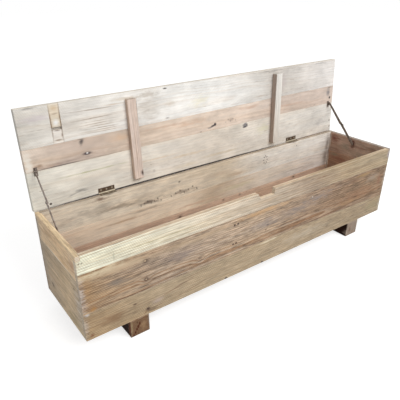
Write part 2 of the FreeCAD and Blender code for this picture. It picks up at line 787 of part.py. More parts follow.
def export():
    os.makedirs("parts", exist_ok=True)
    for body in pieces():
        body.Shape.exportStep(f"parts/{body.Label}.step")


build()
check()
export()
print(len(pieces()), "pieces written")
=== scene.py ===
import bpy
import json
import math
from mathutils import Matrix, Vector


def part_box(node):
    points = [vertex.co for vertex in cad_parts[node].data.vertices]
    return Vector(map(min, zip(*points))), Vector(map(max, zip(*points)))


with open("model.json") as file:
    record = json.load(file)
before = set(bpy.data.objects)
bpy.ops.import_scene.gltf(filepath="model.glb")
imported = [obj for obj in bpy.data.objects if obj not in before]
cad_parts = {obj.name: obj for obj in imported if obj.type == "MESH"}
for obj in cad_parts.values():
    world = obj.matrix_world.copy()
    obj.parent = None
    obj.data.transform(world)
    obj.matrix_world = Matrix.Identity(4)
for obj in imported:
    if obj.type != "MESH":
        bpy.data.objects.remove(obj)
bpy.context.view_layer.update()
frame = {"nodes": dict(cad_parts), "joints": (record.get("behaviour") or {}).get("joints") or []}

NODES = frame["nodes"]
JOINTS = {joint["name"]: joint for joint in frame["joints"]}

# Places and directions in the CAD's frame, in metres.
LEAN = math.radians(85.7)  # how far the open lid stands up from level
HINGE_AXIS = Vector(JOINTS["lid_hinge"]["pos_m"])
LOW_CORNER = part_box("front_board_bottom")[0]  # the walls' lower left front corner
UP, DOWN, FRONT, BACK = (0, 0, 1), (0, 0, -1), (0, -1, 0), (0, 1, 0)
LEFT, RIGHT = (-1, 0, 0), (1, 0, 0)
UP_LID = (0, math.cos(LEAN), math.sin(LEAN))
LID_OUTSIDE = (0, math.sin(LEAN), -math.cos(LEAN))
OFF_AXIS = (0, 1, 1)  # keeps what is square to the boards' length and to the hinge axis

# Boards, knots and marks are written in mm.
PER_METRE = 1000
LENGTH, DEPTH, BATTEN_LENGTH = 1500, 335, 340


# ---- short calls for building node trees ---------------------------------------------------------


class Tree:
    """Adds nodes to one material or group; a value given as a socket becomes a link."""

    def __init__(self, tree):
        self.tree = tree

    def feed(self, socket, value):
        if isinstance(value, bpy.types.NodeSocket):
            self.tree.links.new(value, socket)
        elif isinstance(value, str):
            socket.default_value = colour(value)
        else:
            socket.default_value = value

    def add(self, kind, inputs=None, **settings):
        node = self.tree.nodes.new("ShaderNode" + kind)
        for name, value in settings.items():
            setattr(node, name, value)
        for name, value in (inputs or {}).items():
            self.feed(node.inputs[name], value)
        return node

    def math(self, operation, *values):
        node = self.add("Math", operation=operation)
        for socket, value in zip(node.inputs, values):
            self.feed(socket, value)
        return node.outputs[0]

    def times(self, first, *others):
        """All the values multiplied."""
        for other in others:
            first = self.math("MULTIPLY", first, other)
        return first

    def total(self, start, *parts):
        """start plus every (weight, value) pair."""
        for weight, value in parts:
            start = self.math("MULTIPLY_ADD", value, weight, start)
        return start

    def vector(self, operation, *values):
        node = self.add("VectorMath", operation=operation)
        for socket, value in zip(node.inputs, values):
            self.feed(socket, value)
        return node.outputs["Value" if operation in ("LENGTH", "DOT_PRODUCT") else "Vector"]

    def noise(self, place, scale, detail=2.0, roughness=0.5, shift=(0, 0, 0)):
        """Noise about 0, stretched by a scale for each axis in cycles per metre."""
        stretched = self.vector("MULTIPLY_ADD", place, scale, shift)
        inputs = {"Vector": stretched, "Scale": 1.0, "Detail": detail, "Roughness": roughness}
        return self.math("SUBTRACT", self.add("TexNoise", inputs).outputs[0], 0.5)

    def span(self, value, low, high, out_low=0.0, out_high=1.0):
        """Maps low..high smoothly to out_low..out_high, and holds it there outside."""
        node = self.add("MapRange", interpolation_type="SMOOTHSTEP")
        names = ("Value", "From Min", "From Max", "To Min", "To Max")
        for name, given in zip(names, (value, low, high, out_low, out_high)):
            self.feed(node.inputs[name], given)
        return node.outputs[0]

    def mix(self, factor, first, second, blend="MIX"):
        node = self.add("Mix", data_type="RGBA", blend_type=blend)
        for socket, value in ((0, factor), (6, first), (7, second)):
            self.feed(node.inputs[socket], value)
        return node.outputs[2]

    def stain(self, tone, tint, *amounts):
        """A colour multiplied by a tint, as strongly as the amounts multiplied say."""
        return self.mix(self.times(*amounts), tone, tint, "MULTIPLY")

    def scale(self, tone, by):
        """A colour made lighter or darker by a number that varies."""
        node = self.add("VectorMath", operation="SCALE")
        self.feed(node.inputs[0], tone)
        self.feed(node.inputs["Scale"], by)
        return node.outputs[0]

    def split(self, vector):
        """The three parts of a vector."""
        return self.add("SeparateXYZ", {"Vector": vector}).outputs

    def join(self, parts):
        return self.add("CombineXYZ", dict(zip("XYZ", parts))).outputs[0]

    def group(self, group, inputs):
        return self.add("Group", inputs, node_tree=group)


def colour(code):
    """Linear RGBA from a six-digit sRGB code."""
    parts = [int(code[i : i + 2], 16) / 255 for i in (0, 2, 4)]
    return [c / 12.92 if c <= 0.04045 else ((c + 0.055) / 1.055) ** 2.4 for c in parts] + [1.0]


def floats(*names):
    return [(name, "f") for name in names]


def new_group(name, inputs, outputs):
    """A node group with its sockets; returns the group, its tree, its inputs and its exit."""
    group = bpy.data.node_groups.new(name, "ShaderNodeTree")
    kinds = {"f": "NodeSocketFloat", "v": "NodeSocketVector", "c": "NodeSocketColor"}
    for side, sockets in (("INPUT", inputs), ("OUTPUT", outputs)):
        for label, kind in sockets:
            group.interface.new_socket(name=label, in_out=side, socket_type=kinds[kind])
    entry = group.nodes.new("NodeGroupInput")
    leave = group.nodes.new("NodeGroupOutput")
    return group, Tree(group), entry.outputs, leave.inputs


def new_material(name):
    material = bpy.data.materials.new(name)
    material.use_nodes = True
    material.node_tree.nodes.clear()
    return material, Tree(material.node_tree)


def finish(t, tone, roughness, normal, extra):
    """The shader and the output of a material."""
    inputs = {"Base Color": tone, "Roughness": roughness, "Normal": normal, **extra}
    shader = t.add("BsdfPrincipled", inputs)
    t.add("OutputMaterial", {"Surface": shader.outputs[0]})


# ---- knots, and marks at a place on a board ------------------------------------------------------

KNOT_RAG, KNOT_REACH = 0.8, -0.16  # how ragged a knot is, and how its push on the grain dies away
HEART_EDGE, RIM_EDGE, RIM_DEPTH = (0.7, 1.25), (0.9, 2.6), 0.35  # in radii of the knot


def make_knot_group():
    """Adds one knot: the grain flows round it, and its heart darkens."""
    group, t, given, out = new_group(
        "knot",
        [("Place", "v"), *floats("Ragged", "Flow", "Dark"), ("Centre", "v")]
        + floats("Radius", "Stretch", "Push", "Depth"),
        floats("Flow", "Dark"),
    )
    parts = t.split(t.vector("SUBTRACT", given["Place"], given["Centre"]))
    along = t.math("DIVIDE", parts[0], given["Stretch"])
    square = t.math("MULTIPLY_ADD", along, along, t.times(parts[1], parts[1]))
    distance = t.math("DIVIDE", t.math("SQRT", square), given["Radius"])
    distance = t.total(distance, (KNOT_RAG, given["Ragged"]))
    near = t.math("EXPONENT", t.times(distance, distance, KNOT_REACH))
    t.feed(out["Flow"], t.total(given["Flow"], (given["Push"], near)))
    heart = t.span(distance, *HEART_EDGE, 1.0, 0.0)
    rim = t.span(distance, *RIM_EDGE, RIM_DEPTH, 0.0)
    dark = t.times(t.math("MAXIMUM", heart, rim), given["Depth"])
    t.feed(out["Dark"], t.math("MAXIMUM", given["Dark"], dark))
    return group


def make_mark_group():
    """Tints one soft-edged, ragged oval on or in a board."""
    group, t, given, out = new_group(
        "mark",
        [("Color", "c"), ("Place", "v"), ("Ragged", "f"), ("Centre", "v"), ("Along", "v")]
        + [("Across", "v"), ("Through", "v"), ("Tint", "c"), *floats("Depth", "Rag", "Soft")],
        [("Color", "c")],
    )
    away = t.vector("SUBTRACT", given["Place"], given["Centre"])
    axes = [t.vector("DOT_PRODUCT", away, given[name]) for name in ("Along", "Across", "Through")]
    distance = t.total(t.vector("LENGTH", t.join(axes)), (given["Rag"], given["Ragged"]))
    inside = t.span(distance, t.math("SUBTRACT", 1.0, given["Soft"]), 1.0, 1.0, 0.0)
    t.feed(out["Color"], t.mix(t.times(inside, given["Depth"]), given["Color"], given["Tint"]))
    return group


# ---- old pine ------------------------------------------------------------------------------------

# How each kind of noise is drawn out: cycles per metre along, across and through the board.
RING_BEND, RING_RIPPLE = (1.6, 5, 5), (9, 40, 40)
STRIPS, STREAKS, FIBRES = (1.1, 38, 38), (4.2, 150, 150), (14, 720, 720)
GRIT, CLOUDS = (20, 190, 190), (9, 14, 14)
WARM_DRIFT, COOL_DRIFT, TONE_DRIFT = (1.3, 24, 24), (1.8, 19, 19), (2.5, 14, 14)
FLECK_AREAS, FLECKS, PORES = (2.2, 13, 13), (20, 300, 300), (48, 1500, 1500)
SAW_SWAY, SAW_AREAS = (3, 9, 9), (6, 14, 14)
END_SPECKLE = (900, 900, 900)
RAGGED_EDGE, WORN_AREAS = (24, 90, 90), (30, 60, 60)

# What is multiplied into the wood's tone where something tints or darkens it.
WARM_TINT, COOL_TINT = (1.0, 0.9, 0.77, 1), (0.87, 0.865, 0.87, 1)
LATE_WOOD, END_LATE_WOOD = (0.66, 0.52, 0.4, 1), (0.6, 0.5, 0.4, 1)
FLECK_TINT, PORE_TINT = (0.5, 0.4, 0.34, 1), (0.6, 0.5, 0.42, 1)
# The tint of the painted shade that darkens corners and gaps between boards.
CORNER_SHADE_TINT = (0.35, 0.27, 0.22, 1)
KNOT_HEART, RUBBED_WOOD = "3f2c24", "eadfcb"

# Late wood darkens through a ring, from one share of the ring to the next, and then fades.
LATE_RISE, LATE_FADE = (0.3, 0.86), (0.9, 1.0)
RIPPLE_DEPTH = 0.0035
# Saw marks: metres from one to the next, their slant, and how far noise sways them.
SAW_GAP, SAW_SLANT, SAW_BEND = 0.0074, 0.575, 0.02
PALE_FLECKS, PORE_DEPTH, SAW_DEPTH, END_LATE_DEPTH = 0.14, 0.3, 0.13, 0.6
BEVEL, CORNER, SAMPLES = 0.0035, 0.012, 4  # of rubbed edges, painted shade in corners, and both


def make_pine_group():
    """Sawn old pine in the round: growth rings about a pith, fibres, streaks, saw marks."""
    group, t, given, out = new_group(
        "pine",
        [("Place", "v"), ("Seed", "v"), ("Grain Axis", "v"), ("Pith", "v"), ("Base", "c")]
        + floats("Warm", "Cool", "Ring Gap", "Rings", "Wander", "Streak", "Grit", "Cloud")
        + floats("Fleck", "Saw", "Flow", "Dark"),
        [("Color", "c"), *floats("Roughness", "Height")],
    )
    place = t.vector("ADD", given["Place"], given["Seed"])
    # growth rings: the distance from the pith, bent by slow noise and by the knots
    from_pith = t.vector("SUBTRACT", given["Place"], given["Pith"])
    radius = t.vector("LENGTH", t.vector("MULTIPLY", from_pith, OFF_AXIS))
    radius = t.total(radius, (given["Wander"], t.noise(place, RING_BEND)))
    radius = t.total(radius, (RIPPLE_DEPTH, t.noise(place, RING_RIPPLE)))
    turns = t.math("DIVIDE", t.math("ADD", radius, given["Flow"]), given["Ring Gap"])
    phase = t.math("FRACT", turns)
    ring = t.add("TexWhiteNoise", {"W": t.math("FLOOR", turns)}, noise_dimensions="1D")
    late = t.times(t.span(phase, *LATE_RISE), t.span(phase, *LATE_FADE, 1.0, 0.0))
    late = t.times(late, t.total(0.25, (0.75, ring.outputs["Value"])))
    strip = t.noise(place, STRIPS, 4.0, 0.62)
    late = t.times(late, t.span(strip, -0.16, 0.1, 0.25, 1.0))
    # streaks, fibres and clouds, from coarse to fine
    streaks = t.noise(place, STREAKS, 3.0, 0.6, (3.3, 0, 0))
    fibres = t.noise(place, FIBRES, 2.0, 0.6)
    grit = t.noise(place, GRIT, 4.0, 0.75, (0, 2.9, 0))
    cloud = t.noise(place, CLOUDS, 4.0, 0.6, (0, 8.1, 0))
    shade = t.total(1.0, (given["Streak"], t.total(0.0, (1.0, strip), (0.9, streaks))))
    shade = t.total(shade, (given["Grit"], t.total(0.0, (1.35, grit), (0.7, fibres))))
    shade = t.total(shade, (given["Cloud"], cloud))
    # warm and cool drifts of colour
    warm = t.span(t.noise(place, WARM_DRIFT, 3.0, 0.6, (3.1, 0.7, 0)), -0.1, 0.16)
    cool = t.span(t.noise(place, COOL_DRIFT, 3.5, 0.62, (7.7, 1.9, 0)), -0.08, 0.18)
    tone = t.stain(given["Base"], WARM_TINT, warm, given["Warm"])
    tone = t.stain(tone, COOL_TINT, cool, given["Cool"])
    tone = t.stain(tone, LATE_WOOD, late, given["Rings"])
    tone = t.scale(tone, shade)
    # short dark flecks, pale rubbed flecks between them, and pores
    where = t.span(t.noise(place, FLECK_AREAS), -0.08, 0.1)
    short = t.noise(place, FLECKS, shift=(0, 0, 5.5))
    flecks = t.times(t.span(short, 0.15, 0.24), where)
    pale = t.times(t.span(short, -0.16, -0.26), where)
    tone = t.stain(tone, FLECK_TINT, flecks, given["Fleck"])
    tone = t.scale(tone, t.total(1.0, (PALE_FLECKS, t.times(pale, given["Fleck"]))))
    pores = t.span(t.noise(place, PORES), 0.12, 0.27)
    tone = t.stain(tone, PORE_TINT, pores, PORE_DEPTH)
    # saw marks slantwise across the grain
    parts = t.split(given["Place"])
    sway = t.noise(place, SAW_SWAY, 1.0)
    slant = t.total(parts[0], (SAW_SLANT, parts[1]), (SAW_BEND, sway))
    marks = t.math("SINE", t.times(slant, 2 * math.pi / SAW_GAP))
    marks = t.times(marks, t.span(t.noise(place, SAW_AREAS), -0.12, 0.12), given["Saw"])
    tone = t.scale(tone, t.total(1.0, (SAW_DEPTH, marks)))
    # end grain, where a face looks along the fibres
    facing = t.vector("DOT_PRODUCT", t.add("TexCoord").outputs["Normal"], given["Grain Axis"])
    end = t.span(t.math("ABSOLUTE", facing), 0.75, 0.95)
    end_tone = t.stain(given["Base"], END_LATE_WOOD, late, END_LATE_DEPTH)
    end_tone = t.scale(end_tone, t.total(0.86, (0.6, t.noise(place, END_SPECKLE))))
    tone = t.mix(end, tone, end_tone)
    t.feed(out["Color"], t.mix(given["Dark"], tone, KNOT_HEART))
    rough = t.total(0.72, (0.25, fibres), (-0.1, late), (-0.12, given["Dark"]))
    t.feed(out["Roughness"], rough)
    height = t.total(0.0, (0.5, late), (0.9, fibres), (0.6, streaks), (0.35, marks))
    t.feed(out["Height"], t.total(height, (-0.5, pores), (-0.4, flecks)))
    return group


def make_wear_and_shade_group():
    """Pale rubbed edges, and a little painted shade that darkens the corners between boards."""
    group, t, given, out = new_group(
        "wear_and_shade", [("Color", "c"), ("Place", "v"), *floats("Rubbed", "Corner Shade")], [("Color", "c")]
    )
    soft = t.add("Bevel", {"Radius": BEVEL}, samples=SAMPLES).outputs[0]
    edge = t.vector("DOT_PRODUCT", soft, t.add("NewGeometry").outputs["Normal"])
    worn = t.span(t.noise(given["Place"], WORN_AREAS, 3.0), -0.15, 0.1)
    rubbed = t.times(t.span(edge, 0.995, 0.9), worn, given["Rubbed"])
    tone = t.mix(rubbed, given["Color"], RUBBED_WOOD)
    # Painted shade: the tone darkens where ambient occlusion finds near surfaces, in corners and
    # gaps.
    open_air = t.add("AmbientOcclusion", {"Distance": CORNER}, samples=SAMPLES).outputs["AO"]
    tone = t.stain(tone, CORNER_SHADE_TINT, t.span(open_air, 0.75, 0.35), given["Corner Shade"])
    t.feed(out["Color"], tone)
    return group


KNOT = make_knot_group()
MARK = make_mark_group()
PINE = make_pine_group()
WEAR_AND_SHADE = make_wear_and_shade_group()

# How a board lies, and which parts of a place run along its grain, across its face and through it.
# They are measured from LOW_CORNER, or on the lid from its left end, up from the hinge axis and
# out of the underside.
LONG, CROSS, FLAT, LID, BATTEN = "long", "cross", "flat", "lid", "batten"
ORDER = {LONG: (0, 2, 1), CROSS: (1, 2, 0), FLAT: (0, 1, 2), LID: (0, 1, 2), BATTEN: (1, 0, 2)}
GRAIN_AXIS = {LONG: RIGHT, CROSS: BACK, FLAT: RIGHT, LID: RIGHT, BATTEN: UP_LID}

# The face that a board's marks lie on, measured through the board, and how far in they go.
FACE, BACK_INSIDE, RIGHT_INSIDE, ALL_THROUGH = (0, 12), (317, 12), (1482, 12), (0, 5000)
# The same for one mark, on the outer face of the lid or of the back.
OUTSIDE = {"at": -22.8, "deep": 10}
BEHIND = {"at": 335, "deep": 10}

RAG = 2.4
SEED_STEP = (1.37, 0.71, 0.33)
DRIFT_REACH = 0.32  # metres that noise moves a board's tones along it
FACE_EDGE = (0.55, 0.85)  # how squarely a face looks in a direction before it takes its tone
BARE_EXTRA = 0.35
GRAIN_LIFT = 0.0004


def board_place(t, lay):
    """Where a point is on its board: along the grain, across the face and through it."""
    spot = t.add("TexCoord").outputs["Object"]
    if lay in (LID, BATTEN):
        back = Matrix.Rotation(-LEAN, 3, "X") @ HINGE_AXIS
        corner = (-LOW_CORNER.x, -back.y, -back.z)
        inputs = {"Vector": spot, "Rotation": (-LEAN, 0, 0), "Location": corner}
    else:
        inputs = {"Vector": spot, "Location": -LOW_CORNER}
    parts = t.split(t.add("Mapping", inputs, vector_type="POINT").outputs[0])
    return t.join([parts[i] for i in ORDER[lay]])


def zone_ramp(t, place, zones, length):
    """A board's tone along its length, from a few (place, colour) pairs."""
    along = t.split(place)[0]
    drift = t.noise(place, TONE_DRIFT, 3.0, 0.6)
    along = t.math("DIVIDE", t.total(along, (DRIFT_REACH, drift)), length / PER_METRE)
    ramp = t.add("ValToRGB", {"Fac": along})
    stops = ramp.color_ramp.elements
    while len(stops) < len(zones):
        stops.new(0.5)
    for stop, (position, code) in zip(stops, zones):
        stop.position = position / length
        stop.color = colour(code)
    return ramp.outputs["Color"]


def add_mark(t, shared, skin, along, across, reach, width, code, depth, rag=RAG, options=()):
    """Adds one mark: an oval with its place on the board, half length and half width.

    rag is how ragged its edge is. The options are turn, in degrees; soft, the share of it that
    fades; and at and deep, its place through the board and how far it reaches from there.
    """
    own = {"turn": 0, "soft": 1.0, "at": skin[0], "deep": skin[1]}
    own.update(options)
    turn = math.radians(own["turn"])
    c, s = math.cos(turn), math.sin(turn)
    inputs = {
        "Centre": [mm / PER_METRE for mm in (along, across, own["at"])],
        "Along": (c * PER_METRE / reach, s * PER_METRE / reach, 0),
        "Across": (-s * PER_METRE / width, c * PER_METRE / width, 0),
        "Through": (0, 0, PER_METRE / own["deep"]),
        "Tint": code,
        "Depth": depth,
        "Rag": rag,
        "Soft": own["soft"],
    }
    return t.group(MARK, {**shared, **inputs}).outputs[0]


def pine(
    name, lay, seed, zones, rings, faces=(), warm=0.5, cool=0.5, streak=0.5, grit=0.6, cloud=0.5,
    fleck=0.5, saw=0.2, knots=(), marks=(), rubbed=0.22, corner_shade=0.4, length=LENGTH, skin=FACE,
    bare=None, shine=0.25,
):
    """The material of the board with this node name.

    zones are its tones along its length, and faces gives (direction, tone) for faces that differ.
    rings is (gap, depth, wander, pith across, pith through). A knot is (along, across, radius,
    stretch, push, depth) and goes right through. A mark is what add_mark takes, from along on, and
    lies within skin[1] of skin[0]. The grain stands out more on the face that looks towards bare.
    """
    t = new_material(name)[1]
    place = board_place(t, lay)
    shift = [seed * step for step in SEED_STEP]
    shifted = t.vector("ADD", place, shift)
    base = zone_ramp(t, place, zones, length)
    normal = t.add("TexCoord").outputs["Normal"]
    for axis, code in faces:
        facing = t.span(t.vector("DOT_PRODUCT", normal, axis), *FACE_EDGE)
        base = t.mix(facing, base, code)

    def stronger(amount):
        if not bare:
            return amount
        facing = t.vector("DOT_PRODUCT", normal, bare)
        return t.span(facing, *FACE_EDGE, amount, BARE_EXTRA + amount)

    ragged = t.noise(shifted, RAGGED_EDGE, 5.0, 0.7)
    flow, dark = 0.0, 0.0
    for along, across, radius, stretch, push, depth in knots:
        inputs = {
            "Place": place,
            "Ragged": ragged,
            "Flow": flow,
            "Dark": dark,
            "Centre": (along / PER_METRE, across / PER_METRE, 0),
            "Radius": radius / PER_METRE,
            "Stretch": stretch,
            "Push": push / PER_METRE,
            "Depth": depth,
        }
        knot = t.group(KNOT, inputs).outputs
        flow, dark = knot["Flow"], knot["Dark"]
    gap, ring_depth, wander, pith_across, pith_through = rings
    inputs = {
        "Place": place,
        "Seed": shift,
        "Grain Axis": GRAIN_AXIS[lay],
        "Pith": (0, pith_across / PER_METRE, pith_through / PER_METRE),
        "Base": base,
        "Warm": warm,
        "Cool": cool,
        "Ring Gap": gap / PER_METRE,
        "Rings": stronger(ring_depth),
        "Wander": wander / PER_METRE,
        "Streak": stronger(streak),
        "Grit": stronger(grit),
        "Cloud": cloud,
        "Fleck": stronger(fleck),
        "Saw": saw,
        "Flow": flow,
        "Dark": dark,
    }
    wood = t.group(PINE, inputs).outputs
    tone = wood["Color"]
    for mark in marks:
        shared = {"Color": tone, "Place": place, "Ragged": ragged}
        tone = add_mark(t, shared, skin, *mark)
    inputs = {"Color": tone, "Place": shifted, "Rubbed": rubbed, "Corner Shade": corner_shade}
    tone = t.group(WEAR_AND_SHADE, inputs).outputs[0]
    bump = t.add("Bump", {"Height": wood["Height"], "Distance": GRAIN_LIFT, "Strength": 1.0})
    finish(t, tone, wood["Roughness"], bump.outputs[0], {"Specular IOR Level": shine})


# ---- the boards ----------------------------------------------------------------------------------


def star_knot(along, across):
    """Eight strokes out from the middle of a knot."""
    strokes = []
    for k in range(8):
        angle = k * math.pi / 4
        place = (along + 11 * math.cos(angle), across + 18 * math.sin(angle))
        options = {"turn": math.degrees(angle), "soft": 0.7}
        strokes.append((*place, 6.5, 3.0, "5c4e45", 0.9, 0.8, options))
    return strokes


def front_boards():
    dark = "4a352b"
    pine(
        "front_board_top", LONG, 1,
        ((0, "e9e9d4"), (560, "dbceba"), (930, "a49483"), (1200, "af9d83"), (LENGTH, "a6977f")),
        faces=((UP, "dac8af"), (BACK, "c9b394"), (LEFT, "e6d6c0"), (RIGHT, "b5a48c")),
        rings=(8.5, 0.9, 14, 190, -30), warm=0.35, cool=0.2, streak=0.35, grit=1.0, cloud=0.3,
        fleck=0.5, saw=0.9,
        marks=(
            (120, 313, 115, 3.2, dark, 0.75, 1.0, {"deep": 6}), (18, 285, 4, 3.5, dark, 0.8, 1.0),
            (340, 275, 260, 2.4, "9a8f5e", 0.6), (420, 262, 300, 2.4, "a08a62", 0.6),
            (520, 285, 160, 2.0, "a3835c", 0.5), (250, 255, 200, 2.0, "a3835c", 0.4),
            (985, 295, 14, 3.5, dark, 0.8), (1060, 288, 60, 5, "7d5f46", 0.8),
            (1240, 270, 200, 6, "85705a", 0.5), (1400, 285, 90, 10, "8b7a66", 0.45),
            (720, 270, 110, 12, "bfa384", 0.35), (1493, 290, 13, 40, "9d949a", 0.85, 1.2),
            (6, 285, 10, 30, "cdb79c", 0.4), (118, 270, 4, 32, "b3b09c", 0.6),
            (1200, 314, 420, 3.4, "a08a6a", 0.95, 0.3, {"soft": 0.5, "deep": 60}),
        ),
    )
    pine(
        "front_board_middle", LONG, 2,
        ((0, "a68b6c"), (260, "aa9886"), (700, "b5a28e"), (1130, "917b67"), (LENGTH, "8d7863")),
        faces=((BACK, "bfa588"), (UP, "a08870"), (LEFT, "d0bea6"), (RIGHT, "a08b74")),
        rings=(8.0, 1.05, 40, 120, -25), warm=0.5, cool=0.5, streak=0.65, grit=2.2, cloud=0.6,
        fleck=1.2, saw=0.6,
        knots=(
            (222, 214, 7, 1.3, 9, 0.75), (222, 143, 7, 1.3, 8, 0.7), (437, 140, 6, 1.5, 8, 0.45),
            (1428, 226, 8, 2.2, 9, 0.2),
        ),
        marks=(
            (120, 226, 170, 24, "c3ae92", 0.75), (420, 222, 200, 18, "bba488", 0.6),
            *((222, height, 4, 3.5, "d5b896", 0.8, 1.0) for height in (214, 143)),
            *((along, 220, 6.5, 6, "35261f", 0.95, 0.7, {"soft": 0.7}) for along in (590, 606)),
            *((along, 142, 6, 5.5, "35261f", 0.95, 0.7, {"soft": 0.7}) for along in (586, 600)),
            (360, 182, 95, 30, "7d7270", 0.5), (120, 176, 60, 24, "857a70", 0.7),
            (745, 175, 90, 26, "8c8280", 0.55), (757, 166, 10, 7, "5f5450", 0.85, 1.0),
            (748, 148, 9, 6, "5a463a", 0.85, 1.0), (1000, 214, 5, 4, "ece6da", 0.9, 1.0),
            (34, 112, 16, 13, "a97a44", 0.7, 2.6), (25, 190, 24, 60, "a3805a", 0.45),
            (740, 234, 190, 14, "c49f76", 0.75), (200, 105.5, 90, 4, "5d4535", 0.85, 1.2),
            (680, 108, 85, 4.5, "5d4535", 0.75, 1.6, {"turn": -5}),
            (800, 112, 60, 4, "6d4f3b", 0.6, 1.8), (930, 110, 160, 2.8, "6a4a36", 0.75, 1.8),
            (950, 126, 150, 2.6, "7a5843", 0.65, 1.8), (930, 141, 140, 2.6, "7a5843", 0.65, 1.8),
            (1120, 100, 150, 3, "6a4a36", 0.6, 1.8),
            (920, 184, 220, 34, "867b75", 0.8, 3.8, {"turn": 4, "soft": 1.6}),
            (1080, 208, 150, 22, "8f8580", 0.75, 3.8, {"turn": 4, "soft": 1.6}),
            (1330, 140, 170, 34, "9a7155", 0.45), (1230, 120, 150, 12, "a8845f", 0.5),
            (1270, 215, 45, 12, "6f5340", 0.75), (1400, 192, 70, 22, "9a8c7a", 0.5),
            (1455, 175, 22, 34, "8a5c48", 0.5), (50, 236, 110, 13, "d6c5a6", 0.85),
            (560, 180, 110, 4, "c0a284", 0.6), (480, 160, 120, 3, "6d5443", 0.5),
            (1492, 165, 8, 80, "b9aea4", 0.7),
            (1436, 227, 26, 4.5, "4d4036", 0.85, 1.6, {"turn": 10}),
            (1400, 200, 60, 20, "a3958a", 0.4, 3.4, {"soft": 1.4}),
            (1330, 226, 60, 12, "a98a5c", 0.5),
            (4, 165, 16, 90, "d6cec8", 0.6, 3.4, {"soft": 1.4, "deep": 60}),
            (6, 165, 16, 85, "6f5c50", 0.5, -4.0, {"soft": 1.4, "deep": 60}),
        ),
    )
    pine(
        "front_board_bottom", LONG, 3,
        ((0, "a68e6f"), (270, "b09e84"), (1100, "ae9c83"), (1300, "a3927a")),
        faces=((BACK, "b89f80"), (DOWN, "94826a"), (LEFT, "c9b79c"), (RIGHT, "a59a80")),
        rings=(7.5, 0.6, 30, 10, -35), warm=0.4, cool=0.35, streak=0.6, grit=1.2, cloud=0.6,
        fleck=0.8, saw=0.8,
        knots=((222, 24, 4.5, 1.2, 24, 0.95), (1120, 40, 5, 1.5, 8, 0.3)),
        marks=(
            (175, 64, 12, 6, dark, 0.9, 1.4), (224, 20, 10, 9, "4a372c", 0.8, 1.2),
            *((along, 4, 10, 6, "2e211b", 0.95, 0.8, {"soft": 0.7}) for along in (558, 742)),
            (95, 45, 60, 32, "84664a", 0.7), (235, 14, 40, 12, "6e5a4a", 0.6),
            (975, 55, 190, 30, "c5baa8", 0.4), (1440, 45, 70, 40, "9a9270", 0.4),
            (775, 92, 95, 5, "e0d3b8", 0.8), (350, 62, 130, 3.4, "745842", 0.7, 1.8, {"turn": 10}),
            (420, 32, 150, 3, "745842", 0.6, 1.8, {"turn": 8}),
            (390, 80, 120, 2.8, "745842", 0.5, 1.8, {"turn": 6}), (640, 20, 190, 5, "8d765c", 0.6),
            (1280, 18, 150, 5, "85735a", 0.5), (1350, 70, 60, 5, "857a72", 0.6),
            (12, 99, 12, 9, "cfcbc8", 0.9, 1.6), (1492, 40, 10, 40, "bdb6a8", 0.6),
            (4, 55, 14, 60, "cfc6bc", 0.55, 3.4, {"soft": 1.4, "deep": 60}),
            (6, 55, 14, 60, "75604f", 0.45, -4.0, {"soft": 1.4, "deep": 60}),
            (20, 15, 10, 9, "7a5238", 0.8), (212, 12, 14, 4, "846545", 0.85, 1.0, {"turn": 45}),
            (262, 40, 34, 20, "b3a298", 0.6),
        ),
    )


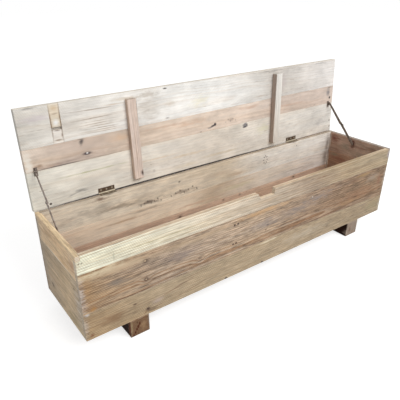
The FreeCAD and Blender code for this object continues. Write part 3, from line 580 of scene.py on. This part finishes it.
def back_boards():
    dark = "5a463c"
    pine(
        "back_board_top", LONG, 4,
        ((0, "eae1cf"), (550, "f0e3ce"), (810, "dccfba"), (1000, "f2eee5"), (LENGTH, "f5f1ea")),
        faces=((UP, "b3a493"), (BACK, "9f9280"), (LEFT, "b5a798"), (RIGHT, "ab9b86")),
        rings=(6.0, 0.25, 40, 250, 400), warm=0.25, cool=0.3, streak=0.22, grit=0.6, cloud=0.9,
        fleck=0.9, saw=0.3, skin=BACK_INSIDE, bare=BACK,
        knots=((570, 280, 3, 1.4, 6, 0.8),),
        marks=(
            *star_knot(1040, 265), (410, 265, 80, 70, "b5a898", 0.75, RAG, {"soft": 1.5}),
            (425, 231, 56, 13, "6b5c52", 0.85, 2.2), (590, 234, 74, 12, "75665b", 0.6, 3.4),
            *(
                (392 + 15 * k, 226 + 5 * (k % 3), 4, 7, "43362f", 0.85, 1.4, {"turn": 20})
                for k in range(7)
            ),
            *(
                (530 + 21 * k, 228 + 7 * (k % 3), 4, 8, "43362f", 0.8, 1.4, {"turn": 20})
                for k in range(7)
            ),
            (1240, 290, 5, 5, dark, 0.9, 1.0), (232, 300, 42, 10, "7d6454", 0.85),
            (190, 262, 170, 34, "a79b8c", 0.5), (300, 250, 130, 14, "958878", 0.65),
            (720, 255, 60, 26, "cfc4b2", 0.6), (660, 285, 120, 10, "cbb89c", 0.5),
            (870, 240, 90, 8, "c5ac92", 0.6), (760, 262, 120, 10, "c9b49c", 0.5),
            (1250, 262, 160, 26, "f2ece2", 0.5),
            # Painted shade darkening the back wall towards the back right inner corner.
            (1465, 250, 22, 100, "6f6054", 0.85, 1.2, {"soft": 1.4}),
            (1400, 215, 120, 26, "b3a496", 0.3), (1290, 285, 60, 36, "f7f3ec", 0.6),
            (300, 270, 180, 20, "8a8072", 0.5, RAG, BEHIND),
            (1150, 290, 160, 12, "b3a58f", 0.5, RAG, BEHIND),
            # Painted shade below each hinge's rim leaf, on the wall's inner top edge.
            (265, 311, 33, 5, "6f6455", 0.8, 0.8, {"at": BACK_INSIDE[0], "deep": 5}),
            (1219, 311, 33, 5, "7d7163", 0.8, 0.8, {"at": BACK_INSIDE[0], "deep": 5}),
            # Painted shade: a dark line on the back rim's rear edge, in the gap below the lid,
            # lighter and browner at the right.
            (560, 312, 640, 6, "2e1f18", 0.97, 0.5, {"at": 334, "deep": 4.4, "soft": 0.4}),
            (1350, 312, 180, 6, "9a8068", 0.8, 0.5, {"at": 334.5, "deep": 3.6, "soft": 0.5}),
        ),
    )
    pine(
        "back_board_middle", LONG, 5,
        ((0, "eadac6"), (600, "f4e6d1"), (770, "d2c0a9"), (1030, "ece2d4"), (1300, "e2dad2")),
        faces=((BACK, "9a8a76"), (LEFT, "b0a08e"), (RIGHT, "a39179")),
        rings=(6.0, 0.35, 30, 170, 390), warm=0.35, cool=0.2, streak=0.25, grit=0.5, cloud=0.6,
        fleck=0.7, skin=BACK_INSIDE, bare=BACK,
        marks=(
            (330, 185, 160, 7, "b9936f", 0.6), (900, 190, 160, 5, "c4a582", 0.5),
            (420, 205, 90, 8, "83705f", 0.5), (650, 160, 200, 8, "d0a88c", 0.5),
            (880, 180, 130, 18, "cfc49c", 0.5),
            # Painted shade darkening the back wall towards the back right inner corner.
            (1462, 180, 30, 80, "6f6054", 0.85, 1.2, {"soft": 1.4}),
            (700, 165, 220, 9, "7d6c58", 0.5, RAG, BEHIND),
            (250, 190, 120, 10, "b09f86", 0.5, RAG, BEHIND), (1250, 170, 130, 5, "b7a697", 0.6),
            (1330, 160, 120, 12, "c0ad9e", 0.5),
        ),
    )
    pine(
        "back_board_bottom", LONG, 6,
        ((0, "d6b8a2"), (500, "dcbfa8"), (1000, "ddc2ac"), (LENGTH, "d3b49e")),
        faces=((BACK, "94826c"), (LEFT, "a89682"), (RIGHT, "9a866e")),
        rings=(6.0, 0.45, 30, 60, 380), warm=0.4, cool=0.35, streak=0.5, grit=0.7, fleck=0.7,
        skin=BACK_INSIDE, bare=BACK,
        knots=(
            (570, 122, 5, 1.6, 9, 0.7), (800, 133, 4, 1.6, 6, 0.5), (895, 132, 4, 1.6, 6, 0.5),
            (1240, 131, 4, 1.8, 6, 0.7),
        ),
        marks=(
            (1200, 60, 200, 16, "a8987f", 0.5, RAG, BEHIND),
            (500, 100, 160, 12, "75654f", 0.5, RAG, BEHIND),
        ),
    )


def floor_boards():
    for name, seed, tone, under in (
        ("floor_board_front", 7, "b09274", "8f7a64"),
        ("floor_board_middle", 8, "b59a7e", "94806a"),
        ("floor_board_back", 9, "a98c70", "8b7660"),
    ):
        pine(
            name, FLAT, seed, ((0, tone), (LENGTH, tone)),
            faces=((DOWN, under),), rings=(5.0, 0.45, 30, 60 + 40 * (seed - 7), 50), fleck=0.6,
            # The floor boards take more of the painted corner shade.
            corner_shade=0.9,
            knots=((300 * (seed - 6), 60 + 90 * (seed - 7), 8, 1.4, 9, 0.8),),
        )


def end_boards():
    dark = "46382e"
    pine(
        "left_end_board_top", CROSS, 10, ((0, "dfc8a8"), (120, "dfc4a0"), (DEPTH, "cdb89c")),
        faces=((UP, "e3cca8"), (RIGHT, "c9a888"), (FRONT, "e6d6c0")),
        rings=(6.0, 0.55, 30, 270, -40), warm=0.4, cool=0.35, streak=0.5, grit=1.1, cloud=0.9,
        fleck=0.8, length=DEPTH,
        marks=(
            (170, 222, 180, 4.4, "f0e6d8", 0.95, 0.6), (60, 262, 50, 8, "a98660", 0.6),
            (220, 285, 80, 9, "b08f6c", 0.6), (34, 262, 26, 34, "ba8c70", 0.65),
            (48, 285, 10, 26, "cdb8a0", 0.6), (316, 262, 26, 45, "b3a592", 0.7),
            (90, 240, 80, 7, "c49d72", 0.5),
            (60, 312, 60, 12, "9c8064", 0.6, RAG, {"at": 14, "deep": 8}),
        ),
    )
    pine(
        "left_end_board_bottom", CROSS, 11, ((0, "c9b69a"), (140, "c7b294"), (DEPTH, "b1a18c")),
        faces=((RIGHT, "b59478"),), rings=(6.0, 0.45, 30, 100, -40), warm=0.3, cool=0.45,
        streak=0.5, grit=1.1, cloud=1.0, fleck=0.9, saw=1.2, length=DEPTH,
        knots=((265, 60, 7, 1.3, 8, 0.7),),
        marks=(
            (47, 175, 11, 5, dark, 0.9, 1.2), (185, 105, 30, 8, "857560", 0.7),
            (120, 200, 60, 8, "b89c78", 0.5), (24, 120, 40, 110, "d8d0c8", 0.6, 4.4, {"soft": 1.6}),
            (24, 120, 40, 110, "7d6c5a", 0.45, -4.4, {"soft": 1.6}),
            (80, 24, 80, 30, "a59870", 0.6), (90, 25, 45, 18, "a8947a", 0.6),
            (312, 120, 26, 110, "a29a8c", 0.6), (150, 160, 90, 9, "bfa780", 0.5),
        ),
    )
    pine(
        "right_end_board_top", CROSS, 12, ((0, "b9a595"), (DEPTH, "b99b8a")),
        faces=((UP, "a89e95"), (RIGHT, "a89076"), (FRONT, "b5aaa2")),
        rings=(6.0, 0.5, 30, 270, 1540), warm=0.35, cool=0.45, streak=0.5, grit=0.8, cloud=0.7,
        fleck=0.8, length=DEPTH, skin=RIGHT_INSIDE, bare=RIGHT,
        marks=(
            (290, 285, 40, 32, "7a4436", 0.85), (225, 262, 44, 20, "8f897a", 0.75),
            (150, 275, 60, 10, "9a7468", 0.6), (185, 268, 16, 14, "b08a80", 0.8),
            (140, 240, 60, 16, "958c7e", 0.6), (270, 235, 34, 20, "96705e", 0.7),
            # Painted light: a pale line at the back inner corner, where light shows through the
            # joint.
            (80, 285, 60, 20, "8c7060", 0.6), (313, 265, 6, 60, "ece2d4", 0.95, 0.8),
        ),
    )
    pine(
        "right_end_board_bottom", CROSS, 13, ((0, "b59882"), (DEPTH, "ad8b76")),
        faces=((RIGHT, "9c866c"),), rings=(6.0, 0.5, 30, 100, 1540), warm=0.35, cool=0.45,
        streak=0.5, grit=0.8, cloud=0.7, fleck=0.8, length=DEPTH, skin=RIGHT_INSIDE, bare=RIGHT,
        marks=(
            (250, 190, 70, 22, "8d5f4c", 0.7), (200, 140, 90, 22, "75705a", 0.7),
            # Painted light: a pale line at the back inner corner, where light shows through the
            # joint.
            (280, 205, 34, 12, "8f8672", 0.7), (313, 150, 6, 90, "ece2d4", 0.95, 1.2),
        ),
    )


def bearers():
    pine(
        "left_bearer", CROSS, 14, ((0, "84674f"), (DEPTH, "8a745c")),
        # Painted shade: the left face, under the chest and away from the light, is near black, with
        # some grime.
        faces=((LEFT, "26130b"), (RIGHT, "80664f")), rings=(8, 0.8, 14, -60, 200), warm=0.5,
        cool=0.4, streak=0.9, grit=1.2, cloud=1.0, fleck=0.9, saw=0.6, rubbed=0.35, length=DEPTH,
        shine=0.06,
        marks=(
            (0, -28, 30, 44, "9c8869", 0.8, 1.4, {"at": 156, "deep": 8}),
            *(
                (0, -62 + 10 * k, 30, 10, "4e2516", 0.95, 1.2,
                 {"at": 163 + 6 * k, "deep": 5.5, "soft": 0.7})
                for k in range(5)
            ),
            (0, -14, 30, 7, "3a2318", 0.85, 1.0, {"at": 178, "deep": 3.5}),
            (0, -34, 30, 34, "9c8061", 0.7, RAG, {"at": 202, "deep": 17}),
            (0, -30, 30, 60, "857a70", 0.8, RAG, {"at": 225, "deep": 9, "soft": 0.8}),
            (0, -68, 30, 6, "8d7f6d", 0.7, RAG, {"at": 195, "deep": 34}),
            (5, -30, 12, 45, "6b3427", 0.85, 1.2, {"at": 152, "deep": 4}),
            (12, -64, 12, 7, "a98d6c", 0.8, 1.0, {"at": 152, "deep": 4}),
        ),
    )
    pine(
        "right_bearer", CROSS, 15, ((0, "a09082"), (DEPTH, "8a745c")),
        # Painted shade: the left face, under the chest and away from the light, is near black, with
        # some grime.
        faces=((LEFT, "28140c"), (RIGHT, "80664f")), rings=(7, 0.6, 20, -60, 1300), warm=0.35,
        cool=0.4, streak=0.7, grit=1.0, cloud=0.6, fleck=0.8, saw=0.6, rubbed=0.25, length=DEPTH,
        shine=0.06,
        marks=(
            (0, -36, 30, 18, "6e5546", 0.75, 2.8, {"at": 1296, "deep": 12}),
            (0, -50, 30, 18, "b9a898", 0.7, 1.6, {"at": 1277, "deep": 7}),
            (0, -20, 30, 10, "a98f80", 0.6, 2.4, {"at": 1312, "deep": 10}),
            (0, -56, 30, 16, "94806f", 0.6, 2.4, {"at": 1322, "deep": 14}),
            (0, -46, 30, 40, "5c4f45", 0.7, 1.0, {"at": 1348, "deep": 4}),
        ),
    )


def lid_boards():
    dark = "4d3b31"
    outside = (LID_OUTSIDE, "b59c7d")
    edge = (UP_LID, "dcd4c6")
    side = (RIGHT, "cabfae")
    pine(
        "lid_board_rear", LID, 16,
        ((0, "e8e4d8"), (560, "ebe4d9"), (780, "e2dace"), (1150, "ebe6dd"), (1430, "dfdad2")),
        faces=(outside, side), rings=(7.0, 0.2, 40, 60, -60), warm=0.2, cool=0.25, streak=0.14,
        grit=0.35, cloud=0.9, fleck=0.8, saw=0.4, bare=LID_OUTSIDE,
        marks=(
            (934, 123, 18, 12, "757376", 0.9, 1.2, {"turn": 10, "soft": 0.6}),
            (932, 116, 16, 3.6, "3f3d42", 0.95, 1.0, {"turn": 4, "soft": 0.6}),
            (945, 122, 5, 9, "4a474c", 0.9, 1.4, {"soft": 0.7}),
            (58, 9, 16, 10, "f6f1e8", 0.8, 1.2),
            (60, 10, 6.5, 5.5, "33271f", 0.97, 0.5, {"soft": 0.5}), (172, 30, 44, 9, "8f8c88", 0.8),
            (150, 24, 40, 4, "857f78", 0.6, RAG, {"turn": 12}), (230, 90, 190, 4, "bcb98f", 0.7),
            (45, 63, 22, 3.4, "9a8a72", 0.7), (480, 75, 170, 4, "d4b894", 0.5),
            (1415, 55, 50, 30, "b5afa9", 0.7), (1488, 50, 8, 7, dark, 0.8, 1.4),
            (1492, 20, 8, 7, dark, 0.8, 1.4), (1368, 113, 18, 3, "8a7c70", 0.7),
            (640, 60, 150, 8, "d6bf9e", 0.6), (800, 30, 150, 8, "d2c0a2", 0.6),
            (620, 20, 120, 9, "d6c6a8", 0.5), (1040, 90, 60, 30, "e0dcb8", 0.5),
            (470, 31, 10, 8, "6a5648", 0.4), (400, 60, 160, 12, "8f7d66", 0.5, RAG, OUTSIDE),
            (1100, 30, 200, 9, "cdb798", 0.5, RAG, OUTSIDE),
            (934, 123, 12, 7, "4a3c34", 0.8, RAG, OUTSIDE),
            (200, 100, 120, 10, "9d876c", 0.5, RAG, OUTSIDE),
            # Painted shade: a dark line along the gap between the lid's rear edge and the back rim,
            # lighter and browner right of the right hinge.
            (590, -2.6, 640, 4.4, "2e1f18", 0.98, 0.4, {"soft": 0.35}),
            (1350, -2.6, 180, 3.0, "8a705c", 0.85, 0.4, {"soft": 0.4}),
        ),
    )
    pine(
        "lid_board_middle", LID, 17,
        (
            (0, "e0d0c0"), (190, "c8b7aa"), (400, "deccba"), (700, "e8d7c7"), (960, "e6d6c8"),
            (1240, "d0c0b4"),
        ),
        faces=(outside, side), rings=(7.0, 0.3, 40, 180, -60), warm=0.3, cool=0.22, streak=0.16,
        grit=0.32, cloud=0.9, fleck=0.7, saw=0.3, bare=LID_OUTSIDE,
        knots=((215, 154, 6, 2.0, 5, 0.2),),
        marks=(
            (214, 155, 24, 8, "4c4348", 0.95, 1.0, {"soft": 0.7}),
            (215, 156, 6, 4.2, "f8f4ee", 0.97, 0.8, {"soft": 0.7}),
            (200, 198, 11, 19, "4f4a4a", 0.9, 1.4, {"turn": -20}), (196, 208, 18, 6, "6a625e", 0.8),
            (772, 156, 9, 9, "2c2c34", 0.97, 1.2, {"soft": 0.6}),
            (760, 151, 20, 5.6, "33313a", 0.95, 1.2, {"turn": 12, "soft": 0.7}),
            (745, 146, 14, 5, "6d6466", 0.7), (855, 160, 22, 10, "a38f84", 0.5, 2.8),
            *((828 + 13 * k, 155 + 8 * (k % 2), 4.5, 3, "5f5456", 0.85, 0.8) for k in range(5)),
            (700, 138, 6, 4, dark, 0.8, 1.0), (12, 165, 20, 60, "ece6da", 0.8),
            (46, 148, 24, 12, "94765e", 0.7), (80, 140, 50, 8, "b08e74", 0.5),
            (1466, 188, 20, 34, "807b7c", 0.95, 1.2),
            (1478, 162, 9, 9, "2f2a2c", 0.95, 0.8, {"soft": 0.6}),
            (1470, 210, 16, 5, "4a4446", 0.8), (1370, 142, 18, 3.4, "8a7c70", 0.7),
            (214, 155, 16, 7, "4f4038", 0.85, RAG, OUTSIDE),
            (765, 153, 14, 8, "3f3430", 0.9, RAG, OUTSIDE),
            (700, 185, 180, 12, "97836a", 0.5, RAG, OUTSIDE),
            (1200, 160, 150, 10, "c9b294", 0.5, RAG, OUTSIDE),
            (125, 133.6, 130, 4.6, "3a2f34", 0.95, 0.6), (300, 134, 90, 2.4, "7a6555", 0.6, 1.0),
            (150, 143, 110, 8, "a08c84", 0.6), (340, 185, 60, 18, "dbb48e", 0.5),
            (560, 190, 170, 7, "caa68a", 0.6), (1180, 170, 160, 7, "cbaa94", 0.6),
            (640, 178, 120, 9, "d8b496", 0.5), (960, 195, 90, 9, "cba58c", 0.5),
        ),
    )
    pine(
        "lid_board_front", LID, 18,
        ((0, "cfcbc3"), (190, "e6e2db"), (750, "f4f3ef"), (1100, "cdc8c1"), (1450, "e2deda")),
        faces=(outside, edge, side), rings=(7.5, 0.3, 40, 250, -60), warm=0.14, cool=0.22,
        streak=0.12, grit=0.35, cloud=0.8, fleck=0.7, saw=0.4, bare=LID_OUTSIDE,
        marks=(
            # Painted shade on the lid beside the left batten's right side.
            (470, 275, 75, 100, "b3a799", 0.75, RAG, {"soft": 1.5}),
            (545, 328, 13, 4, "38302c", 0.9, 1.0, {"soft": 0.7}),
            (548, 220, 12, 3.4, dark, 0.7, 1.4),
            (250, 298, 135, 2.8, "8d735c", 0.7, 1.6, {"turn": -1}),
            (252, 269, 135, 2.6, "8d735c", 0.7, 1.6, {"turn": 1}),
            (268, 258, 110, 2.0, "967c64", 0.6, 1.8),
            (262, 250, 120, 2.0, "967c64", 0.7, 1.8, {"turn": 1}),
            (275, 242, 105, 2.0, "967c64", 0.6, 1.8),
            (265, 234, 115, 2.0, "967c64", 0.7, 1.8, {"turn": -1}),
            (280, 227, 100, 2.0, "967c64", 0.6, 1.8), (285, 220, 90, 2.0, "967c64", 0.6, 1.8),
            (52, 262, 55, 2.2, "998a7c", 0.6), (60, 300, 70, 22, "cbbfc4", 0.5),
            (370, 316, 75, 8, "cdbba2", 0.6), (470, 318, 46, 12, "b9ad9e", 0.6),
            (560, 270, 34, 16, "cdbfae", 0.6), (398, 305, 9, 4, "54443c", 0.85, 1.0),
            (330, 303, 60, 3, "c4ab90", 0.5), (300, 290, 200, 18, "a08a70", 0.5, RAG, OUTSIDE),
            (980, 250, 160, 12, "8f7b62", 0.5, RAG, OUTSIDE),
            (1350, 300, 100, 20, "c4ae92", 0.4, RAG, OUTSIDE),
            (620, 262, 9, 6, "4f4038", 0.8, RAG, OUTSIDE), (1075, 329, 90, 8, "96928e", 0.7),
            (1020, 233, 60, 3.6, "bfae9c", 0.6), (40, 333, 50, 6, "8f8a84", 0.7),
            (1380, 329, 70, 7, "b0aeaa", 0.6), (90, 226, 70, 12, "eeebe4", 0.7),
            (700, 260, 60, 30, "e8dfb8", 0.4), (1150, 280, 40, 50, "c9bdbb", 0.5),
        ),
    )
    seam = "84694f"
    for name, seed, tone in (("lid_patch_lower", 19, "e6e2dc"), ("lid_patch_upper", 20, "ddd2c0")):
        pine(
            name, LID, seed, ((0, tone), (LENGTH, tone)),
            faces=(edge,), rings=(6.0, 0.25, 20, 250, -60), warm=0.3, cool=0.3, streak=0.3,
            grit=0.4, fleck=0.4, saw=0.0, rubbed=0.1,
            marks=(
                (125, 276, 15, 15, "f3f4f3", 0.9, 1.0), (124, 304, 19, 2.4, "8c725c", 0.75, 1.0),
                (125, 322, 17, 15, "d2b894", 0.7), (125, 250.5, 20, 4, "6d5443", 0.85, 0.8),
                (108, 275, 5, 80, seam, 0.95, 0.8), (141, 275, 5, 80, seam, 0.95, 0.8),
                (124, 219, 20, 3.6, seam, 0.9, 0.8), (139, 232, 5, 14, "7a5f4a", 0.8, 1.2),
            ),
        )


def battens():
    pine(
        "lid_batten_left", BATTEN, 21, ((0, "e0cfc3"), (BATTEN_LENGTH, "ddcdc3")),
        # Painted shade: the right face is dark brown as the batten's shaded side.
        faces=((LEFT, "d8c3b4"), (RIGHT, "75604f"), (UP_LID, "c2b0a0")),
        rings=(7.0, 0.5, 14, 360, 40), warm=0.3, cool=0.35, streak=0.5, grit=0.6, cloud=0.5,
        fleck=0.9, saw=0.1, length=BATTEN_LENGTH, skin=ALL_THROUGH,
        marks=(
            (42, 412, 16, 10, "3f2e28", 0.95, 1.0), (262, 415.5, 62, 4.4, "4a3a30", 0.9, 1.0),
            (292, 414.5, 24, 3.4, "43342c", 0.9, 0.8), (120, 396, 90, 3, "b09684", 0.6),
            (160, 378, 200, 2.4, "8a7466", 0.7, 1.0),
        ),
    )
    pine(
        "lid_batten_right", BATTEN, 22, ((0, "dcd7ce"), (BATTEN_LENGTH, "e0ddd7")),
        faces=((LEFT, "ab9b90"), (RIGHT, "a08f80"), (UP_LID, "e2ddd4")),
        rings=(6.0, 0.3, 20, 1040, 40), warm=0.25, cool=0.35, streak=0.4, grit=0.5, cloud=0.4,
        fleck=0.7, saw=0.1, length=BATTEN_LENGTH, skin=ALL_THROUGH,
    )


# ---- metals --------------------------------------------------------------------------------------

RUST_CLOUDS, GRAINS = (90, 90, 90), (900, 900, 900)  # cycles per metre
METAL_BEVEL, METAL_LIFT = 0.0008, 0.00008
# The butt hinges, with soft edges in metres: the knuckles about the axis, and the screws' heads.
KNUCKLE_EDGE, SCREW_EDGE = (0.0029, 0.0034), (0.0031, 0.0036)
KNUCKLE_BRIGHT, SCREW_BRIGHT = 0.85, 0.75
# Screws: their row from the axis, the first one from its leaf's left end, and one from the next.
SCREW_ROW, FIRST_SCREW, SCREW_GAP = 0.0108, 0.01, 0.02175


def metal(name, base, rubbed, rust, roughness, metallic, bright=()):
    """Old steel with rust and rubbed edges; bright lists (mask function, colour) pairs."""
    material, t = new_material(name)
    spot = t.add("TexCoord").outputs["Object"]
    cloud = t.noise(spot, RUST_CLOUDS, 4.0, 0.6)
    grains = t.noise(spot, GRAINS, 3.0)
    tone = t.mix(t.span(cloud, -0.1, 0.15), base, rust)
    for mask, code in bright:
        tone = t.mix(mask(t, spot), tone, code)
    soft = t.add("Bevel", {"Radius": METAL_BEVEL}, samples=SAMPLES).outputs[0]
    facing = t.vector("DOT_PRODUCT", soft, t.add("NewGeometry").outputs["Normal"])
    tone = t.mix(t.times(t.span(facing, 0.99, 0.85), 0.7), tone, rubbed)
    tone = t.scale(tone, t.total(1.0, (0.5, grains)))
    rough = t.total(roughness, (0.5, cloud))
    bump = t.add("Bump", {"Height": t.math("ADD", cloud, grains), "Distance": METAL_LIFT})
    finish(t, tone, rough, bump.outputs[0], {"Metallic": metallic})
    return material


def from_axis(t, spot):
    """How far a point is from the hinge axis."""
    away = t.vector("SUBTRACT", spot, tuple(HINGE_AXIS))
    return t.vector("LENGTH", t.vector("MULTIPLY", away, OFF_AXIS))


def on_knuckles(t, spot):
    """A mask for the knuckles."""
    return t.span(from_axis(t, spot), *KNUCKLE_EDGE, KNUCKLE_BRIGHT, 0.0)


def on_screws(leaf):
    """A mask for the three screw heads of a hinge leaf."""
    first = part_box(leaf)[0].x + FIRST_SCREW

    def mask(t, spot):
        along = t.math("SUBTRACT", t.split(spot)[0], first - SCREW_GAP / 2)
        along = t.math("SUBTRACT", t.math("FLOORED_MODULO", along, SCREW_GAP), SCREW_GAP / 2)
        across = t.math("SUBTRACT", from_axis(t, spot), SCREW_ROW)
        away = t.math("SQRT", t.math("MULTIPLY_ADD", along, along, t.times(across, across)))
        return t.span(away, *SCREW_EDGE, SCREW_BRIGHT, 0.0)

    return mask


def dress(names, material):
    """Gives the material to these nodes."""
    for name in names:
        slots = NODES[name].data.materials
        slots.clear()
        slots.append(material)


def metals():
    for side in ("left", "right"):
        lid_leaf, rim_leaf = f"{side}_hinge_lid_leaf", f"{side}_hinge_rim_leaf"
        bright = ((on_knuckles, "c9bda6"), (on_screws(lid_leaf), "b8ac9a"))
        steel = metal(f"{side} lid leaf", "5e5142", "a4957c", "5c4330", 0.55, 0.4, bright)
        dress([lid_leaf, f"{side}_hinge_pin"], steel)
        steel = metal(f"{side} rim leaf", "857a68", "b8ab94", "6a5642", 0.55, 0.4, bright)
        dress([rim_leaf], steel)
    stays = metal("stay steel", "857a72", "b4aca2", "5c4c40", 0.5, 0.45)
    dress([name for name in NODES if "stay" in name], stays)
    plates = metal("plate steel", "84695c", "a08a7c", "6b4636", 0.6, 0.25)
    dress(["left_stay_wall_plate", "right_stay_wall_plate"], plates)
    iron = metal("nail iron", "7a6858", "9a8a78", "7b5a42", 0.7, 0.3)
    nails = ("_nails", "_nails_left", "_nails_right")
    dress([name for name in NODES if name.endswith(nails)], iron)


front_boards()
back_boards()
floor_boards()
end_boards()
bearers()
lid_boards()
battens()
for board in NODES:
    if board in bpy.data.materials:
        dress([board], bpy.data.materials[board])
metals()


# ---- camera, light and floor ---------------------------------------------------------------------

# The photograph's camera: angles in radians, its place in metres, and pixels of its square frame.
YAW, PITCH, ROLL = 0.9545283, 0.4858757, -0.0071133
CAMERA_PLACE = (-1.096156, -1.238015, 1.076757)
FRAME, FOCAL_LENGTH, CENTRE_X, CENTRE_Y = 400, 451.533, 189.677, 212.66
SENSOR = 36  # mm

WHITE = (1, 1, 1, 1)
SKY, SEEN_SKY = 0.55, 1.0
SOFTBOX_SIZE, SOFTBOX_WATTS = (3.6, 2.6), 182
SOFTBOX_PLACE, SOFTBOX_AIM = (1.0, -4.0, 3.9), (0, 0, 0.25)

FLOOR_REACH = 14.0
FLOOR_TONE = (0.8, 0.8, 0.8, 1)
# What the camera sees of the floor: glow and lit tone add up to white, and shadows stay.
SEEN_FLOOR_TONE, SEEN_FLOOR_GLOW = (0.6, 0.6, 0.6, 1), 0.68


def set_camera():
    """The photograph's own view: its place, aim, roll and the small shift of its frame."""
    level = math.cos(PITCH)
    ahead = Vector((level * math.cos(YAW), level * math.sin(YAW), -math.sin(PITCH)))
    across = ahead.cross(Vector(UP)).normalized()
    down = ahead.cross(across)
    right = math.cos(ROLL) * across - math.sin(ROLL) * down
    low = math.sin(ROLL) * across + math.cos(ROLL) * down
    data = bpy.data.cameras.new("camera")
    data.sensor_width = SENSOR
    data.lens = FOCAL_LENGTH * SENSOR / FRAME
    data.shift_x = (FRAME / 2 - CENTRE_X) / FRAME
    data.shift_y = (CENTRE_Y - FRAME / 2) / FRAME
    camera = bpy.data.objects.new("camera", data)
    turned = Matrix((right, -low, -ahead)).transposed().to_4x4()
    camera.matrix_world = Matrix.Translation(CAMERA_PLACE) @ turned
    bpy.context.scene.collection.objects.link(camera)
    bpy.context.scene.camera = camera


def seen_directly(t):
    """1 for rays from the camera, or by way of a mirror or glass."""
    path = t.add("LightPath").outputs
    through = t.math("MAXIMUM", path["Is Glossy Ray"], path["Is Transmission Ray"])
    return t.math("MAXIMUM", path["Is Camera Ray"], through)


def set_light():
    """A pale sky, seen as white, and one softbox at the front right."""
    world = bpy.data.worlds.new("studio")
    bpy.context.scene.world = world
    world.use_nodes = True
    world.node_tree.nodes.clear()
    t = Tree(world.node_tree)
    soft = t.add("Background", {"Color": WHITE, "Strength": SKY})
    white = t.add("Background", {"Color": WHITE, "Strength": SEEN_SKY})
    both = t.add("MixShader", {0: seen_directly(t), 1: soft.outputs[0], 2: white.outputs[0]})
    t.add("OutputWorld", {"Surface": both.outputs[0]})
    lamp = bpy.data.lights.new("softbox", "AREA")
    lamp.shape = "RECTANGLE"
    lamp.size, lamp.size_y = SOFTBOX_SIZE
    lamp.energy = SOFTBOX_WATTS
    softbox = bpy.data.objects.new("softbox", lamp)
    softbox.location = SOFTBOX_PLACE
    aim = Vector(SOFTBOX_AIM) - softbox.location
    softbox.rotation_euler = aim.to_track_quat("-Z", "Y").to_euler()
    bpy.context.scene.collection.objects.link(softbox)


def set_floor():
    """A plain floor that the camera sees as white with the object's shadow on it."""
    mesh = bpy.data.meshes.new("floor")
    r = FLOOR_REACH
    mesh.from_pydata([(-r, -r, 0), (r, -r, 0), (r, r, 0), (-r, r, 0)], [], [(0, 1, 2, 3)])
    floor = bpy.data.objects.new("floor", mesh)
    bpy.context.scene.collection.objects.link(floor)
    material, t = new_material("floor white")
    matt = t.add("BsdfDiffuse", {"Color": FLOOR_TONE})
    seen = t.add("BsdfDiffuse", {"Color": SEEN_FLOOR_TONE})
    glow = t.add("Emission", {"Color": WHITE, "Strength": SEEN_FLOOR_GLOW})
    lit = t.add("AddShader", {0: seen.outputs[0], 1: glow.outputs[0]})
    both = t.add("MixShader", {0: seen_directly(t), 1: matt.outputs[0], 2: lit.outputs[0]})
    t.add("OutputMaterial", {"Surface": both.outputs[0]})
    mesh.materials.append(material)


set_camera()
set_light()
set_floor()
bpy.context.scene.view_settings.view_transform = "Standard"
